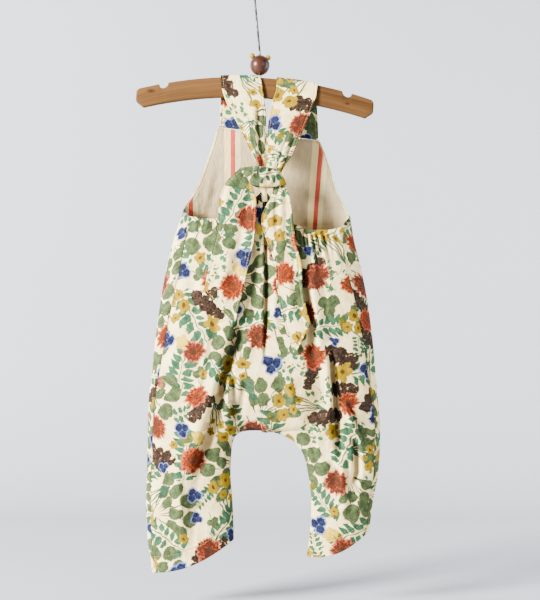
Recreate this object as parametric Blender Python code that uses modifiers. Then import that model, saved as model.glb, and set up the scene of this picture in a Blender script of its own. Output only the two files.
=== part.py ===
"""Baby dungarees tied at the back, hung on a small wooden hanger.

Frame: +Z up, +X to the wearer's right, +Y to the wearer's front.  The origin is the inside of the
hook's crown, where the hanger rests on a rail.  Tables and sizes are in millimetres, and MM turns
them into metres where points are made.
"""
import math
from collections import namedtuple

import bmesh
import bpy
from mathutils import Vector

MM = 0.001

# Cloth
CLOTH = 1.5                # wall of the printed body cloth
LINING = 1.0               # wall of the striped lining
TIE_CLOTH = 2.0            # a tie is two layers of the printed cloth
LINING_ENDS = 1.0          # the row of the body where the lining ends
LINING_DEPTH = 6.0         # and the least depth of the front that it covers
LINING_MARGIN = 3.0        # its edge lies at least this far in from the front's
GAP = 0.3                  # room between pieces that are sewn or lie together
LINING_GAP = 1.2          # from the front's wall to the lining
SEAM_GAP = 1.2             # the same at an outer edge, where the curved walls lean together
HALF_INSEAM = 1.2          # how far each panel stops from the inner leg seam's plane

# Hanger
BAR_CENTRE_X = -9.5
BAR_TOP_Z = -127.0
BAR_HALF_LENGTH = 140.0
BAR_HEIGHT = 23.5
BAR_THICKNESS = 10.0
BAR_DROOP = 20.5           # how far each end hangs below the middle
BAR_TILT = 2.8             # degrees, the wearer's right arm hangs lower
BAR_EDGE = 1.6             # rounding of the bar's long edges
BAR_CORNER = 3.0           # cut off each upper corner
BAR_UNDERCUT = 9.0         # how much shorter the bar is underneath
BAR_END_HEIGHT = 14.5      # from the top edge down to the lower corner of an end
NOTCH_OUT = 108.0
NOTCH_RADIUS = 5.5
WIRE = 2.5                 # diameter of the hook's wire
HOOK_RADIUS = 13.0         # middle of the wire, round the crown
HOOK_END_ANGLE = -25.0     # degrees, where the hook's free end stops
LEAN_FROM_Z = -98.0        # the shank is upright up to here
BEAD_X = -5.0
BEAD_RADIUS = 11.3
BEAD_HALF_HEIGHT = 12.2
BEAD_BORE = 1.6            # radius of the hole through the bead and into the bar
SOCKET_DEPTH = 14.0
EAR_RADIUS = 3.3

# One row for each level of the body, from the top of the side seams to the leg hems.  Left and
# right are the outer edges seen from behind; the inner points are on the middle line above the
# fork, and on the arch and the inner legs below it.  Round is how far in from an edge the cloth
# curves, front and back are the half depths, and seam is how far the side seam lies from the edge
# on the back.  Fork is 0 above the fork and 1 in the legs.
Section = namedtuple("Section", "name left_x left_z left_in_x left_in_z right_in_x right_in_z "
                                "right_x right_z round front back seam fork")
BODY = [Section(*row) for row in (
    ("side_top",   -97.0, -289,   0.0, -298.0,  0.0, -298.0, 103.0, -299, 60, 22, 19,  9, 0.0),
    ("waist",     -106.0, -316,   0.0, -320.0,  0.0, -320.0, 106.5, -320, 62, 25, 22, 14, 0.0),
    ("hip",       -113.5, -344,   0.0, -347.0,  0.0, -347.0, 113.0, -346, 63, 27, 25, 17, 0.0),
    ("seat_top",  -121.0, -383,   0.0, -384.0,  0.0, -384.0, 121.0, -384, 64, 28, 28, 16, 0.0),
    ("seat",      -127.5, -430,  -1.0, -430.0, -1.0, -430.0, 127.5, -430, 64, 28, 29, 13, 0.0),
    ("seat_low",  -133.0, -478,  -2.0, -478.0, -2.0, -478.0, 132.0, -478, 62, 27, 28, 10, 0.0),
    ("above_fork", -136.5, -510, -3.0, -517.0, -3.0, -517.0, 134.5, -508, 58, 25, 26,  8, 0.4),
    ("fork",      -137.0, -529,  -4.0, -543.0, -4.0, -543.0, 136.2, -526, 55, 24, 24,  7, 0.8),
    ("arch_top",  -137.2, -540, -17.0, -543.0, 10.0, -545.0, 136.8, -536, 53, 23, 23,  7, 1.0),
    ("arch_turn", -137.4, -550, -29.0, -545.7, 23.0, -549.3, 137.0, -546, 51, 22, 22,  7, 1.0),
    ("arch_side", -137.6, -561, -36.0, -554.0, 36.0, -557.0, 137.0, -556, 50, 22, 21,  7, 1.0),
    ("thigh",     -137.9, -577, -38.5, -570.0, 46.5, -572.0, 136.5, -570, 49, 21, 20,  7, 1.0),
    ("knee",      -138.7, -606, -39.5, -597.0, 52.2, -596.0, 134.0, -598, 48, 20, 19,  6, 1.0),
    ("calf",      -139.0, -639, -37.5, -622.0, 55.5, -624.0, 129.5, -621, 46, 19, 17,  6, 1.0),
    ("shin",      -137.0, -674, -36.2, -648.0, 54.5, -657.0, 126.7, -641, 44, 18, 16,  5, 1.0),
    ("hem",       -132.0, -710, -35.6, -671.0, 50.5, -691.0, 124.0, -661, 43, 17, 15,  5, 1.0),
)]
HEM_BOW = 9.0              # how far a hem sags below the line between its corners
HEM_BOW_FROM = 12          # the row where that sag begins

# The bib continues the front upwards.  Left and right are the edges of the same form carried on
# up; cut is how far in from them the bib's own edge lies, below zero where it turns to the back.
Bib = namedtuple("Bib", "name left_x left_z left_cut mid_x mid_z right_x right_z right_cut "
                        "round front back")
BIB = [Bib(*row) for row in (
    ("bib_top",    -90.0, -183.5, 34.5, 5.0, -191.5,  98.0, -200.0, 32.3, 60, 10, 10),
    ("bib_high",   -90.5, -204.0, 29.5, 4.0, -210.0,  98.5, -214.0, 26.5, 60, 11, 11),
    ("bib_middle", -91.0, -227.0, 22.0, 3.0, -231.0,  99.0, -233.0, 20.5, 60, 13, 13),
    ("bib_low",    -92.0, -248.0, 15.5, 2.0, -252.0,  99.5, -254.0, 15.0, 60, 16, 15),
    ("armhole",    -93.5, -263.0,  9.0, 1.0, -267.0, 100.0, -270.0,  8.5, 60, 18, 17),
    ("underarm",   -95.0, -276.0,  3.0, 0.0, -281.0, 101.0, -284.0,  3.0, 60, 20, 18),
    ("side_turn",  -96.0, -283.5, -2.5, 0.0, -290.0, 102.2, -292.5, -2.5, 60, 21, 19),
)]

# The gathered top edge of the back, pulled up in the middle by the loop.
Edge = namedtuple("Edge", "x z")
WAIST_EDGE = [Edge(*row) for row in (
    (-97, -289), (-86, -291), (-70, -294), (-50, -294), (-24, -281), (0, -263),
    (20, -281), (36, -301), (52, -307), (75, -307), (92, -304), (103, -299),
)]
WAIST_FADE = 60.0          # how far down the pull on that edge is felt

# Largest folds: three points of a line on the cloth, how far to each side it reaches, and its
# height, above zero for a ridge and below for a trough.
Fold = namedtuple("Fold", "name x0 z0 x1 z1 x2 z2 reach height")
BACK_FOLDS = [Fold(*row) for row in (
    ("middle_pleat",       -2, -300,   3, -372,  -1, -478, 10, -4.0),
    ("left_hip_ridge",    -48, -405, -60, -470, -98, -590, 20,  4.0),
    ("left_hip_trough",   -35, -419, -50, -500, -90, -612, 14, -5.0),
    ("right_hip_trough",   46, -386,  53, -430,  55, -476, 12, -4.0),
    ("right_thigh_trough", 76, -470,  84, -520,  86, -563, 12, -6.0),
    ("right_thigh_ridge",  92, -505, 103, -532, 112, -552, 14,  3.0),
    ("right_knee_hollow", 106, -556, 108, -580, 104, -606, 14, -4.0),
    ("waist_ridge_inner",  44, -306,  50, -345,  60, -385, 10,  3.0),
    ("waist_ridge_outer",  70, -306,  80, -345,  92, -400, 12,  3.0),
)]
FRONT_FOLDS = [Fold(*row) for row in (
    ("left_front_fold",   -40, -330, -58, -430, -76, -560, 22, -4.0),
    ("right_front_fold",   44, -320,  62, -420,  84, -548, 20, -4.0),
    ("middle_front_fold",   6, -380,   2, -440,  -4, -505, 18,  3.0),
)]

# Ties.  Each row is a level of the stretch that shows: its two edges seen from behind, the depth
# of its middle, and how far the middle stands out from the edges.
Band = namedtuple("Band", "left_x left_z right_x right_z y crown")
STRAP_CLEAR = 1.6          # from the bar to the middle layer of a tie that lies on it
LEFT_STRAP_OVER = (-51.0, -7.0)      # edges of each tie where it lies over the bar
RIGHT_STRAP_OVER = (14.0, 61.7)
LEFT_STRAP_DOWN = [Band(*row) for row in (
    (-50.0, -139.0, -4.0, -139.0,  -6.9, 0.0),
    (-46.0, -152.0,  0.0, -152.0,  -7.6, 0.5),
    (-39.0, -168.0,  1.6, -168.0, -10.0, 1.5),
    (-29.0, -185.0,  1.8, -185.0, -13.0, 3.0),
    (-20.0, -203.0,  1.8, -203.0, -16.5, 4.5),
    (-12.0, -221.0,  1.4, -221.0, -20.0, 4.0),
    ( -8.5, -241.0,  0.6, -241.0, -23.0, 3.0),
)]
RIGHT_STRAP_DOWN = [Band(*row) for row in (
    ( 14.0, -142.5, 61.5, -146.0,  -6.9, 0.0),
    ( 10.5, -153.0, 59.6, -156.0,  -7.6, 0.5),
    (  6.8, -168.0, 54.5, -170.0, -10.0, 1.5),
    (  4.6, -185.0, 47.5, -186.5, -13.0, 3.0),
    (  3.6, -203.0, 40.0, -204.0, -16.5, 4.5),
    (  3.4, -220.0, 33.0, -221.0, -20.0, 5.0),
    (  3.2, -231.0, 21.5, -231.5, -22.0, 4.5),
    (  3.0, -241.0, 14.0, -241.0, -23.5, 4.0),
)]
Tail = namedtuple("Tail", "left_x left_z right_x right_z off")
LEFT_TAIL = [Tail(*row) for row in (
    (-26.8, -235.4, -14.5, -257.9,  6.5),
    (-35.5, -243.5, -12.6, -263.0,  7.5),
    (-44.0, -253.5, -10.4, -268.0,  8.5),
    (-50.5, -267.5,  -8.6, -277.5,  9.0),
    (-52.5, -287.0,  -8.8, -292.0,  9.0),
    (-54.5, -308.0,  -9.5, -309.0,  8.0),
    (-59.5, -336.0, -14.0, -337.0,  6.0),
    (-64.0, -362.0, -19.5, -364.0,  4.5),
    (-69.5, -379.0, -24.5, -391.0,  3.8),
    (-54.0, -395.0, -29.0, -406.0,  4.2),
    (-38.0, -409.0, -33.0, -413.5,  4.6),
)]
RIGHT_TAIL = [Tail(*row) for row in (
    (  6.0, -254.0,  18.0, -253.0,  6.5),
    (  6.0, -266.0,  24.5, -265.0,  8.0),
    (  1.0, -284.0,  31.0, -283.0,  8.0),
    (  0.5, -302.0,  34.5, -301.0,  7.5),
    (  7.0, -328.0,  38.5, -327.0,  5.5),
    ( 14.0, -352.0,  43.0, -352.0,  4.5),
    ( 15.0, -378.0,  45.0, -378.0,  3.5),
    ( 20.0, -405.0,  50.5, -403.0,  3.5),
    ( 26.0, -428.0,  54.5, -415.5,  3.5),
    ( 33.0, -447.0,  38.0, -446.5,  3.5),
)]

# The wrap of the knot is a band bent round the gathered ties: its ends at the top and bottom.
KNOT_TOP_LEFT_X = -28.0
KNOT_TOP_RIGHT_X = 22.0
KNOT_BOTTOM_LEFT_X = -14.0
KNOT_BOTTOM_RIGHT_X = 26.0
KNOT_Y = -25.5
KNOT_Z = -246.5
KNOT_HALF_DEPTH = 10.5
KNOT_HALF_HEIGHT = 12.0
KNOT_TILT = 5.0            # degrees, its right end hangs lower
KNOT_BELLY = 2.0           # how much fuller it is at mid height
LOOP_WIDTH = 10.5
LOOP_BOTTOM_Z = -278.0
LOOP_TOP_Z = -249.0

# Density of the meshes
SIDE_COLUMNS = 4           # columns over the curve of an edge
WRAP_COLUMNS = 3           # more of them where the front wraps round to the seam
FLAT_COLUMNS = 5           # columns over the rest of a half panel
ROW_PITCH = 19.0           # longest step between rows
ARMHOLE_FROM = 4           # the bib's row from which its edge turns to the side
ARMHOLE_PITCH = 3.5        # longest step between rows there
TIE_COLUMNS = 6


def parts_collection(name):
    """Make the collection that holds the parts."""
    collection = bpy.data.collections.new(name)
    bpy.context.scene.collection.children.link(collection)
    return collection


def material(name, colour, roughness, metallic=0.0):
    """A plain Principled material."""
    made = bpy.data.materials.new(name)
    made.use_nodes = True
    shader = made.node_tree.nodes["Principled BSDF"]
    shader.inputs["Base Color"].default_value = (*colour, 1.0)
    shader.inputs["Roughness"].default_value = roughness
    shader.inputs["Metallic"].default_value = metallic
    return made


def smooth_step(value):
    """0 to 1 with soft ends."""
    value = min(max(value, 0.0), 1.0)
    return value * value * (3.0 - 2.0 * value)


def along(table, position):
    """A row of a table between its rows, on a smooth curve through them."""
    last = len(table) - 1
    index = min(int(position), last - 1)
    t = position - index
    rows = [table[max(index - 1, 0)], table[index], table[index + 1], table[min(index + 2, last)]]
    values = []
    for before, start, end, after in zip(*rows):
        if isinstance(start, str):
            values.append(start)
            continue
        slope_in = (end - before) / 2
        slope_out = (after - start) / 2
        values.append((2 * t ** 3 - 3 * t ** 2 + 1) * start + (t ** 3 - 2 * t ** 2 + t) * slope_in
                      + (3 * t ** 2 - 2 * t ** 3) * end + (t ** 3 - t ** 2) * slope_out)
    return type(table[0])(*values)


def row_positions(table, pitch, fine_from=None, fine_pitch=0.0):
    """Positions along a table, with steps no longer than pitch down its left edge.

    From the row fine_from onwards the steps are no longer than fine_pitch.
    """
    positions = [0.0]
    for index in range(len(table) - 1):
        length = math.hypot(table[index + 1].left_x - table[index].left_x,
                            table[index + 1].left_z - table[index].left_z)
        fine = fine_from is not None and index >= fine_from
        steps = max(1, round(length / (fine_pitch if fine else pitch)))
        positions += [index + step / steps for step in range(1, steps + 1)]
    return positions


def waist_edge(x):
    """Height of the back's top edge at x."""
    for start, end in zip(WAIST_EDGE, WAIST_EDGE[1:]):
        if x <= end.x:
            return start.z + (end.z - start.z) * smooth_step((x - start.x) / (end.x - start.x))
    return WAIST_EDGE[-1].z


def fold_height(folds, x, z):
    """How far the folds move the cloth out at (x, z)."""
    height = 0.0
    for fold in folds:
        points = [Vector((fold.x0, fold.z0)), Vector((fold.x1, fold.z1)),
                  Vector((fold.x2, fold.z2))]
        nearest = 1e9
        for start, end in zip(points, points[1:]):
            line = end - start
            share = (Vector((x, z)) - start).dot(line) / line.length_squared
            share = min(max(share, 0.0), 1.0)
            nearest = min(nearest, (start + line * share - Vector((x, z))).length)
        height += fold.height * (1.0 - smooth_step(nearest / fold.reach))
    return height


def inseam_line():
    """The arch and inner legs as points (x, z), from the left hem over the fork to the right."""
    fork = [section.name for section in BODY].index("fork")
    steps = 6
    last = len(BODY) - 1
    positions = [fork + step / steps for step in range((last - fork) * steps + 1)]
    sections = [along(BODY, position) for position in positions]
    left = [Vector((section.left_in_x, section.left_in_z)) for section in sections]
    right = [Vector((section.right_in_x, section.right_in_z)) for section in sections]
    return left[::-1] + right[1:]


INSEAM = inseam_line()


def inseam_distance(x, z):
    """Distance from (x, z) to the arch and inner legs."""
    point = Vector((x, z))
    nearest = 1e9
    for start, end in zip(INSEAM, INSEAM[1:]):
        line = end - start
        share = (point - start).dot(line) / max(line.length_squared, 1e-9)
        share = min(max(share, 0.0), 1.0)
        nearest = min(nearest, (start + line * share - point).length)
    return nearest


def edge_curve(reach, *distances):
    """Depth of a form with round edges: 0 on an edge, and 1 from reach inwards of them all."""
    lost = sum(max(1.0 - distance / reach, 0.0) ** 2 for distance in distances)
    return math.sqrt(max(1.0 - lost, 0.0))


def half_offsets(edge, reach, width, fork, columns):
    """Distances in from the outer edge to each column of a half panel.

    A distance below zero lies on the back, where the front wraps round to the seam.
    """
    turn = math.acos(1.0 - abs(edge) / reach)
    if edge < 0:
        turn = -turn
    offsets = []
    for step in range(columns + 1):
        angle = turn + (math.pi / 2 - turn) * step / columns
        offsets.append(math.copysign(reach * (1.0 - math.cos(angle)), angle))
    for step in range(1, FLAT_COLUMNS + 1):
        share = step / FLAT_COLUMNS
        eased = (1.0 - fork) * share + fork * math.sin(math.pi / 2 * share)
        offsets.append(reach + (width - reach) * eased)
    return offsets


def back_depth(x, z, edge_distance, section):
    """Y of the back's outer face."""
    curve = edge_curve(section.round, edge_distance, inseam_distance(x, z))
    return -section.back * curve - fold_height(BACK_FOLDS, x, z) * curve ** 2


def body_row(position, face, side):
    """Points of one row of a half panel, from its side seam to the middle line or inner leg."""
    section = along(BODY, position)
    if side < 0:
        outer_x, outer_z = section.left_x, section.left_z
        inner_x, inner_z = section.left_in_x, section.left_in_z
    else:
        outer_x, outer_z = section.right_x, section.right_z
        inner_x, inner_z = section.right_in_x, section.right_in_z
    width = abs(inner_x - outer_x)
    columns = SIDE_COLUMNS if face == "back" else SIDE_COLUMNS + WRAP_COLUMNS
    edge = section.seam + SEAM_GAP if face == "back" else -section.seam
    offsets = half_offsets(edge, section.round, width, section.fork, columns)
    bow = HEM_BOW * smooth_step((position - HEM_BOW_FROM) / (len(BODY) - 1 - HEM_BOW_FROM))
    points = []
    for offset in offsets:
        share = abs(offset) / width
        x = outer_x - side * abs(offset)
        z = outer_z + (inner_z - outer_z) * share - bow * math.sin(math.pi * share)
        if face == "back" or offset < 0:
            y = back_depth(x, z, abs(offset), section)
            y = min(y, -HALF_INSEAM) if face == "back" else y
        else:
            curve = edge_curve(section.round, offset, inseam_distance(x, z))
            y = section.front * curve + fold_height(FRONT_FOLDS, x, z) * curve ** 2
            if section.fork > 0 and share > 0.5:
                y = max(y, HALF_INSEAM)
        if face == "back":
            top = along(BODY, 0.0)
            top_z = (top.left_z if side < 0 else top.right_z)
            top_z += (top.left_in_z - top_z) * share
            fade = 1.0 - min((top_z - z) / WAIST_FADE, 1.0)
            z += (waist_edge(x) - top_z) * fade ** 2
        points.append(Vector((x, y, z)))
    return points


def bib_row(position, side):
    """Points of one row of the bib's half, from its edge to the middle line."""
    section = along(BIB, position)
    if side < 0:
        outer_x, outer_z, cut = section.left_x, section.left_z, section.left_cut
    else:
        outer_x, outer_z, cut = section.right_x, section.right_z, section.right_cut
    width = abs(section.mid_x - outer_x)
    offsets = half_offsets(cut, section.round, width, 0.0, SIDE_COLUMNS + WRAP_COLUMNS)
    points = []
    for offset in offsets:
        share = (offset - cut) / (width - cut)
        z = outer_z + (section.mid_z - outer_z) * share
        depth = section.front if offset > 0 else -section.back
        points.append(Vector((outer_x - side * abs(offset),
                              depth * edge_curve(section.round, abs(offset)), z)))
    return points


def finish_object(name, mesh, collection, look, thickness=0.0, grow=-1.0):
    """Link a mesh as a named part, with a wall if it is an open sheet."""
    made = bpy.data.objects.new(name, mesh)
    collection.objects.link(made)
    made.data.materials.append(look)
    if thickness:
        wall = made.modifiers.new("wall", "SOLIDIFY")
        wall.thickness = thickness * MM
        wall.offset = grow
        wall.use_rim = True
    return made


def face_outwards(mesh_data, outwards):
    """Turn all the faces over if they look away from the way out."""
    total = sum((face.normal * face.calc_area() for face in mesh_data.faces), Vector())
    if total.dot(outwards) < 0:
        bmesh.ops.reverse_faces(mesh_data, faces=mesh_data.faces[:])


def panel(name, left_rows, right_rows, joined_rows, outwards, look, thickness, collection):
    """A panel whose halves share the middle line on its first rows and part below them."""
    mesh_data = bmesh.new()
    left = [[mesh_data.verts.new(point * MM) for point in row] for row in left_rows]
    right = []
    for index, row in enumerate(right_rows):
        verts = [mesh_data.verts.new(point * MM) for point in row[:-1]]
        if index < joined_rows:
            verts.append(left[index][-1])
        else:
            verts.append(mesh_data.verts.new(row[-1] * MM))
        right.append(verts)
    for half, order in ((left, 1), (right, -1)):
        for upper, lower in zip(half, half[1:]):
            for column in range(len(upper) - 1):
                corners = [upper[column], upper[column + 1], lower[column + 1], lower[column]]
                mesh_data.faces.new(corners[::order])
    mesh_data.normal_update()
    face_outwards(mesh_data, outwards)
    mesh = bpy.data.meshes.new(name)
    mesh_data.to_mesh(mesh)
    mesh_data.free()
    return finish_object(name, mesh, collection, look, thickness)


def sheet(name, rows, outwards, look, thickness, collection, closed=False, grow=-1.0):
    """A sheet through rows of points, closed round on itself for a band."""
    mesh_data = bmesh.new()
    verts = [[mesh_data.verts.new(point * MM) for point in row] for row in rows]
    for upper, lower in zip(verts, verts[1:]):
        count = len(upper)
        for column in range(count if closed else count - 1):
            after = (column + 1) % count
            mesh_data.faces.new((upper[column], upper[after], lower[after], lower[column]))
    mesh_data.normal_update()
    if closed:
        bmesh.ops.recalc_face_normals(mesh_data, faces=mesh_data.faces[:])
    else:
        face_outwards(mesh_data, outwards)
    mesh = bpy.data.meshes.new(name)
    mesh_data.to_mesh(mesh)
    mesh_data.free()
    return finish_object(name, mesh, collection, look, thickness, grow)


def back_panel(collection, look):
    """The back: seat and both legs in one piece."""
    positions = row_positions(BODY, ROW_PITCH)
    fork = [section.name for section in BODY].index("fork")
    joined = sum(1 for position in positions if position <= fork)
    left = [body_row(position, "back", -1) for position in positions]
    right = [body_row(position, "back", 1) for position in positions]
    return panel("back_panel", left, right, joined, Vector((0, -1, 0)), look, CLOTH, collection)


def front_rows():
    """Rows of both halves of the front, from the bib's top edge to the hems."""
    bib_positions = row_positions(BIB, ROW_PITCH, ARMHOLE_FROM, ARMHOLE_PITCH)
    body_positions = row_positions(BODY, ROW_PITCH)
    fork = [section.name for section in BODY].index("fork")
    joined = len(bib_positions) + sum(1 for position in body_positions if position <= fork)
    halves = []
    for side in (-1, 1):
        rows = [bib_row(position, side) for position in bib_positions]
        rows += [body_row(position, "front", side) for position in body_positions]
        halves.append(rows)
    return halves[0], halves[1], joined, len(bib_positions)


def lined(row):
    """Half a row of the front as the lining has it: from the lining's edge to the middle line."""
    columns = SIDE_COLUMNS + WRAP_COLUMNS
    begin = LINING_MARGIN
    reached = [0.0]
    for start, end in zip(row, row[1:columns + 1]):
        length = (end - start).length
        if start.y <= LINING_DEPTH < end.y:
            covered = length * (LINING_DEPTH - start.y) / (end.y - start.y)
            begin = max(begin, reached[-1] + covered)
        reached.append(reached[-1] + length)
    points = []
    for column in range(columns):
        wanted = begin + (reached[-1] - begin) * column / columns
        index = next(index for index in range(1, columns + 1) if reached[index] > wanted)
        share = (wanted - reached[index - 1]) / (reached[index] - reached[index - 1])
        points.append(row[index - 1].lerp(row[index], share))
    return points + row[columns:]


def front_and_lining(collection, print_look, lining_look):
    """The front with its bib, and the striped lining on the inside of the bib."""
    left, right, joined, bib_count = front_rows()
    panel("front_panel", left, right, joined, Vector((0, 1, 0)), print_look, CLOTH, collection)
    count = bib_count + sum(1 for position in row_positions(BODY, ROW_PITCH)
                            if position <= LINING_ENDS)
    rows = [lined(a) + lined(b)[-2::-1] for a, b in zip(left[:count], right[:count])]
    inset = -1.0 - 2.0 * (CLOTH + LINING_GAP) / LINING
    sheet("bib_lining", rows, Vector((0, 1, 0)), lining_look, LINING, collection, grow=inset)


def bar_top(x):
    """Height of the bar's top edge at x."""
    out = x - BAR_CENTRE_X
    tilt = math.tan(math.radians(BAR_TILT))
    return BAR_TOP_Z - BAR_DROOP * (out / BAR_HALF_LENGTH) ** 2 - out * tilt


def strap_rows(over, down, bib_y, bib_z_left, bib_z_right):
    """Rows of a tie's strap: up from the bib, over the bar and down to the knot."""
    side_y = BAR_THICKNESS / 2 + STRAP_CLEAR
    corner = BAR_THICKNESS / 2 - BAR_EDGE
    bend = BAR_EDGE + STRAP_CLEAR
    over_left, over_right = over
    rows = []
    for y, share in ((bib_y, 0.0), (bib_y, 0.35), (side_y, 0.75)):
        row = []
        for step in range(TIE_COLUMNS + 1):
            across = step / TIE_COLUMNS
            x = over_left + (over_right - over_left) * across
            bottom = bib_z_left + (bib_z_right - bib_z_left) * across + GAP
            top = bar_top(x) - BAR_HEIGHT / 2
            row.append(Vector((x, y, bottom + (top - bottom) * share)))
        rows.append(row)
    bends = [(corner + bend * math.cos(turn), bend * math.sin(turn) - BAR_EDGE)
             for turn in (0.0, math.pi / 6, math.pi / 3, math.pi / 2)]
    for y, rise in bends + [(-y, rise) for y, rise in bends[::-1]]:
        row = []
        for step in range(TIE_COLUMNS + 1):
            x = over_left + (over_right - over_left) * step / TIE_COLUMNS
            row.append(Vector((x, y, bar_top(x) + rise)))
        rows.append(row)
    for band in down:
        row = []
        for step in range(TIE_COLUMNS + 1):
            across = step / TIE_COLUMNS
            bulge = band.crown * math.sin(math.pi * across)
            row.append(Vector((band.left_x + (band.right_x - band.left_x) * across,
                               band.y - bulge,
                               band.left_z + (band.right_z - band.left_z) * across)))
        rows.append(row)
    return rows


def straps(collection, look):
    """The two straps, each from the bib over the bar to the knot."""
    top = BIB[0]
    edge_x = top.left_x + top.left_cut
    slope = (top.right_z - top.left_z) / (top.right_x - top.right_cut - edge_x)
    for name, over, down in (("strap_left", LEFT_STRAP_OVER, LEFT_STRAP_DOWN),
                             ("strap_right", RIGHT_STRAP_OVER, RIGHT_STRAP_DOWN)):
        z_left = top.left_z + (over[0] - edge_x) * slope
        z_right = top.left_z + (over[1] - edge_x) * slope
        rows = strap_rows(over, down, top.front - CLOTH, z_left, z_right)
        sheet(name, rows, Vector((0, -1, 0)), look, TIE_CLOTH, collection, grow=0.0)


def back_outer_y(x, z):
    """Y of the back's outer face at (x, z), carried on upwards above its top edge."""
    heights = [section.left_z for section in BODY]
    position = 0.0
    for index, (upper, lower) in enumerate(zip(heights, heights[1:])):
        if upper >= z > lower:
            position = index + (upper - z) / (upper - lower)
    section = along(BODY, position)
    outer = section.left_x if x < 0 else section.right_x
    return back_depth(x, z, abs(outer - x), section)


def tails(collection, look):
    """The two free ends of the ties, which hang from the knot down over the back."""
    for name, table in (("tail_left", LEFT_TAIL), ("tail_right", RIGHT_TAIL)):
        rows = []
        for band in table:
            row = []
            for step in range(TIE_COLUMNS):
                across = step / (TIE_COLUMNS - 1)
                x = band.left_x + (band.right_x - band.left_x) * across
                z = band.left_z + (band.right_z - band.left_z) * across
                row.append(Vector((x, back_outer_y(x, z) - band.off, z)))
            rows.append(row)
        sheet(name, rows, Vector((0, -1, 0)), look, TIE_CLOTH, collection, grow=0.0)


def knot_and_loop(collection, look):
    """The band wrapped round the gathered ties, and the loop that ties it to the back."""
    around = 20
    levels = 5
    slope = math.tan(math.radians(KNOT_TILT))
    rows = []
    for level in range(levels):
        down = level / (levels - 1)
        left_x = KNOT_TOP_LEFT_X + (KNOT_BOTTOM_LEFT_X - KNOT_TOP_LEFT_X) * down
        right_x = KNOT_TOP_RIGHT_X + (KNOT_BOTTOM_RIGHT_X - KNOT_TOP_RIGHT_X) * down
        belly = KNOT_BELLY * math.sin(math.pi * down)
        row = []
        for step in range(around):
            angle = 2 * math.pi * step / around
            x = (left_x + right_x) / 2 + ((right_x - left_x) / 2) * math.cos(angle)
            y = KNOT_Y + (KNOT_HALF_DEPTH + belly) * math.sin(angle)
            row.append(Vector((x, y, KNOT_Z + KNOT_HALF_HEIGHT * (1 - 2 * down) - x * slope)))
        rows.append(row)
    sheet("knot_wrap", rows, None, look, TIE_CLOTH, collection, closed=True)

    rows = []
    steps = 5
    for step in range(steps + 1):
        z = LOOP_BOTTOM_Z + (LOOP_TOP_Z - LOOP_BOTTOM_Z) * step / steps
        row = []
        for side in (-0.5, 0.0, 0.5):
            x = LOOP_WIDTH * side
            row.append(Vector((x, back_outer_y(x, z) - GAP - LINING, z)))
        rows.append(row)
    sheet("keeper_loop", rows, Vector((0, -1, 0)), look, LINING, collection)


def hanger_bar(collection, guides, look):
    """The wooden bar: a drooping outline with a notch in each arm, and a socket for the hook."""
    outline = bpy.data.curves.new("bar_outline", "CURVE")
    outline.dimensions = "2D"
    outline.fill_mode = "BOTH"
    outline.extrude = (BAR_THICKNESS / 2 - BAR_EDGE) * MM
    outline.bevel_depth = BAR_EDGE * MM
    outline.bevel_resolution = 2
    outline.offset = -BAR_EDGE * MM
    top = []
    steps = 12

    def droop(out):
        return -BAR_DROOP * (out / BAR_HALF_LENGTH) ** 2

    for step in range(-steps, steps + 1):
        out = (BAR_HALF_LENGTH - BAR_CORNER) * step / steps
        if abs(abs(out) - NOTCH_OUT) > NOTCH_RADIUS:
            top.append((out, droop(out)))
    for side in (-1, 1):
        notch = []
        for step in range(7):
            angle = math.pi * step / 6
            out = side * NOTCH_OUT - NOTCH_RADIUS * math.cos(angle)
            notch.append((out, droop(out) - NOTCH_RADIUS * math.sin(angle)))
        top += notch
    top.sort()
    bottom = []
    for step in range(steps, -steps - 1, -1):
        out = (BAR_HALF_LENGTH - BAR_UNDERCUT) * step / steps
        bottom.append((out, droop(out) - BAR_HEIGHT))
    end_low = droop(BAR_HALF_LENGTH) - BAR_END_HEIGHT
    end_high = droop(BAR_HALF_LENGTH) - BAR_CORNER
    points = top + [(BAR_HALF_LENGTH, end_high), (BAR_HALF_LENGTH, end_low)]
    points += bottom + [(-BAR_HALF_LENGTH, end_low), (-BAR_HALF_LENGTH, end_high)]
    spline = outline.splines.new("POLY")
    spline.points.add(len(points) - 1)
    for place, (x, z) in zip(spline.points, points):
        place.co = (x * MM, z * MM, 0.0, 1.0)
    spline.use_cyclic_u = True
    flat = bpy.data.objects.new("bar_outline", outline)
    guides.objects.link(flat)
    bpy.context.view_layer.update()
    seen = flat.evaluated_get(bpy.context.evaluated_depsgraph_get())
    mesh = bpy.data.meshes.new_from_object(seen)
    bpy.data.objects.remove(flat)
    mesh_data = bmesh.new()
    mesh_data.from_mesh(mesh)
    bmesh.ops.remove_doubles(mesh_data, verts=mesh_data.verts[:], dist=0.00001)
    bmesh.ops.recalc_face_normals(mesh_data, faces=mesh_data.faces[:])
    mesh_data.to_mesh(mesh)
    mesh_data.free()
    bar = finish_object("hanger_bar", mesh, collection, look)
    bar.location = (BAR_CENTRE_X * MM, 0.0, BAR_TOP_Z * MM)
    bar.rotation_euler = (math.radians(90), math.radians(BAR_TILT), 0.0)

    bpy.ops.mesh.primitive_cylinder_add(vertices=16, radius=BEAD_BORE * MM,
                                        depth=2 * SOCKET_DEPTH * MM,
                                        location=(BEAD_X * MM, 0.0, bar_top(BEAD_X) * MM))
    cutter = bpy.context.object
    cutter.name = "socket_cutter"
    for holder in cutter.users_collection:
        holder.objects.unlink(cutter)
    guides.objects.link(cutter)
    cutter.hide_render = True
    cutter.display_type = "WIRE"
    cut = bar.modifiers.new("socket", "BOOLEAN")
    cut.object = cutter
    cut.operation = "DIFFERENCE"
    cut.solver = "EXACT"
    return bar


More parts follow.
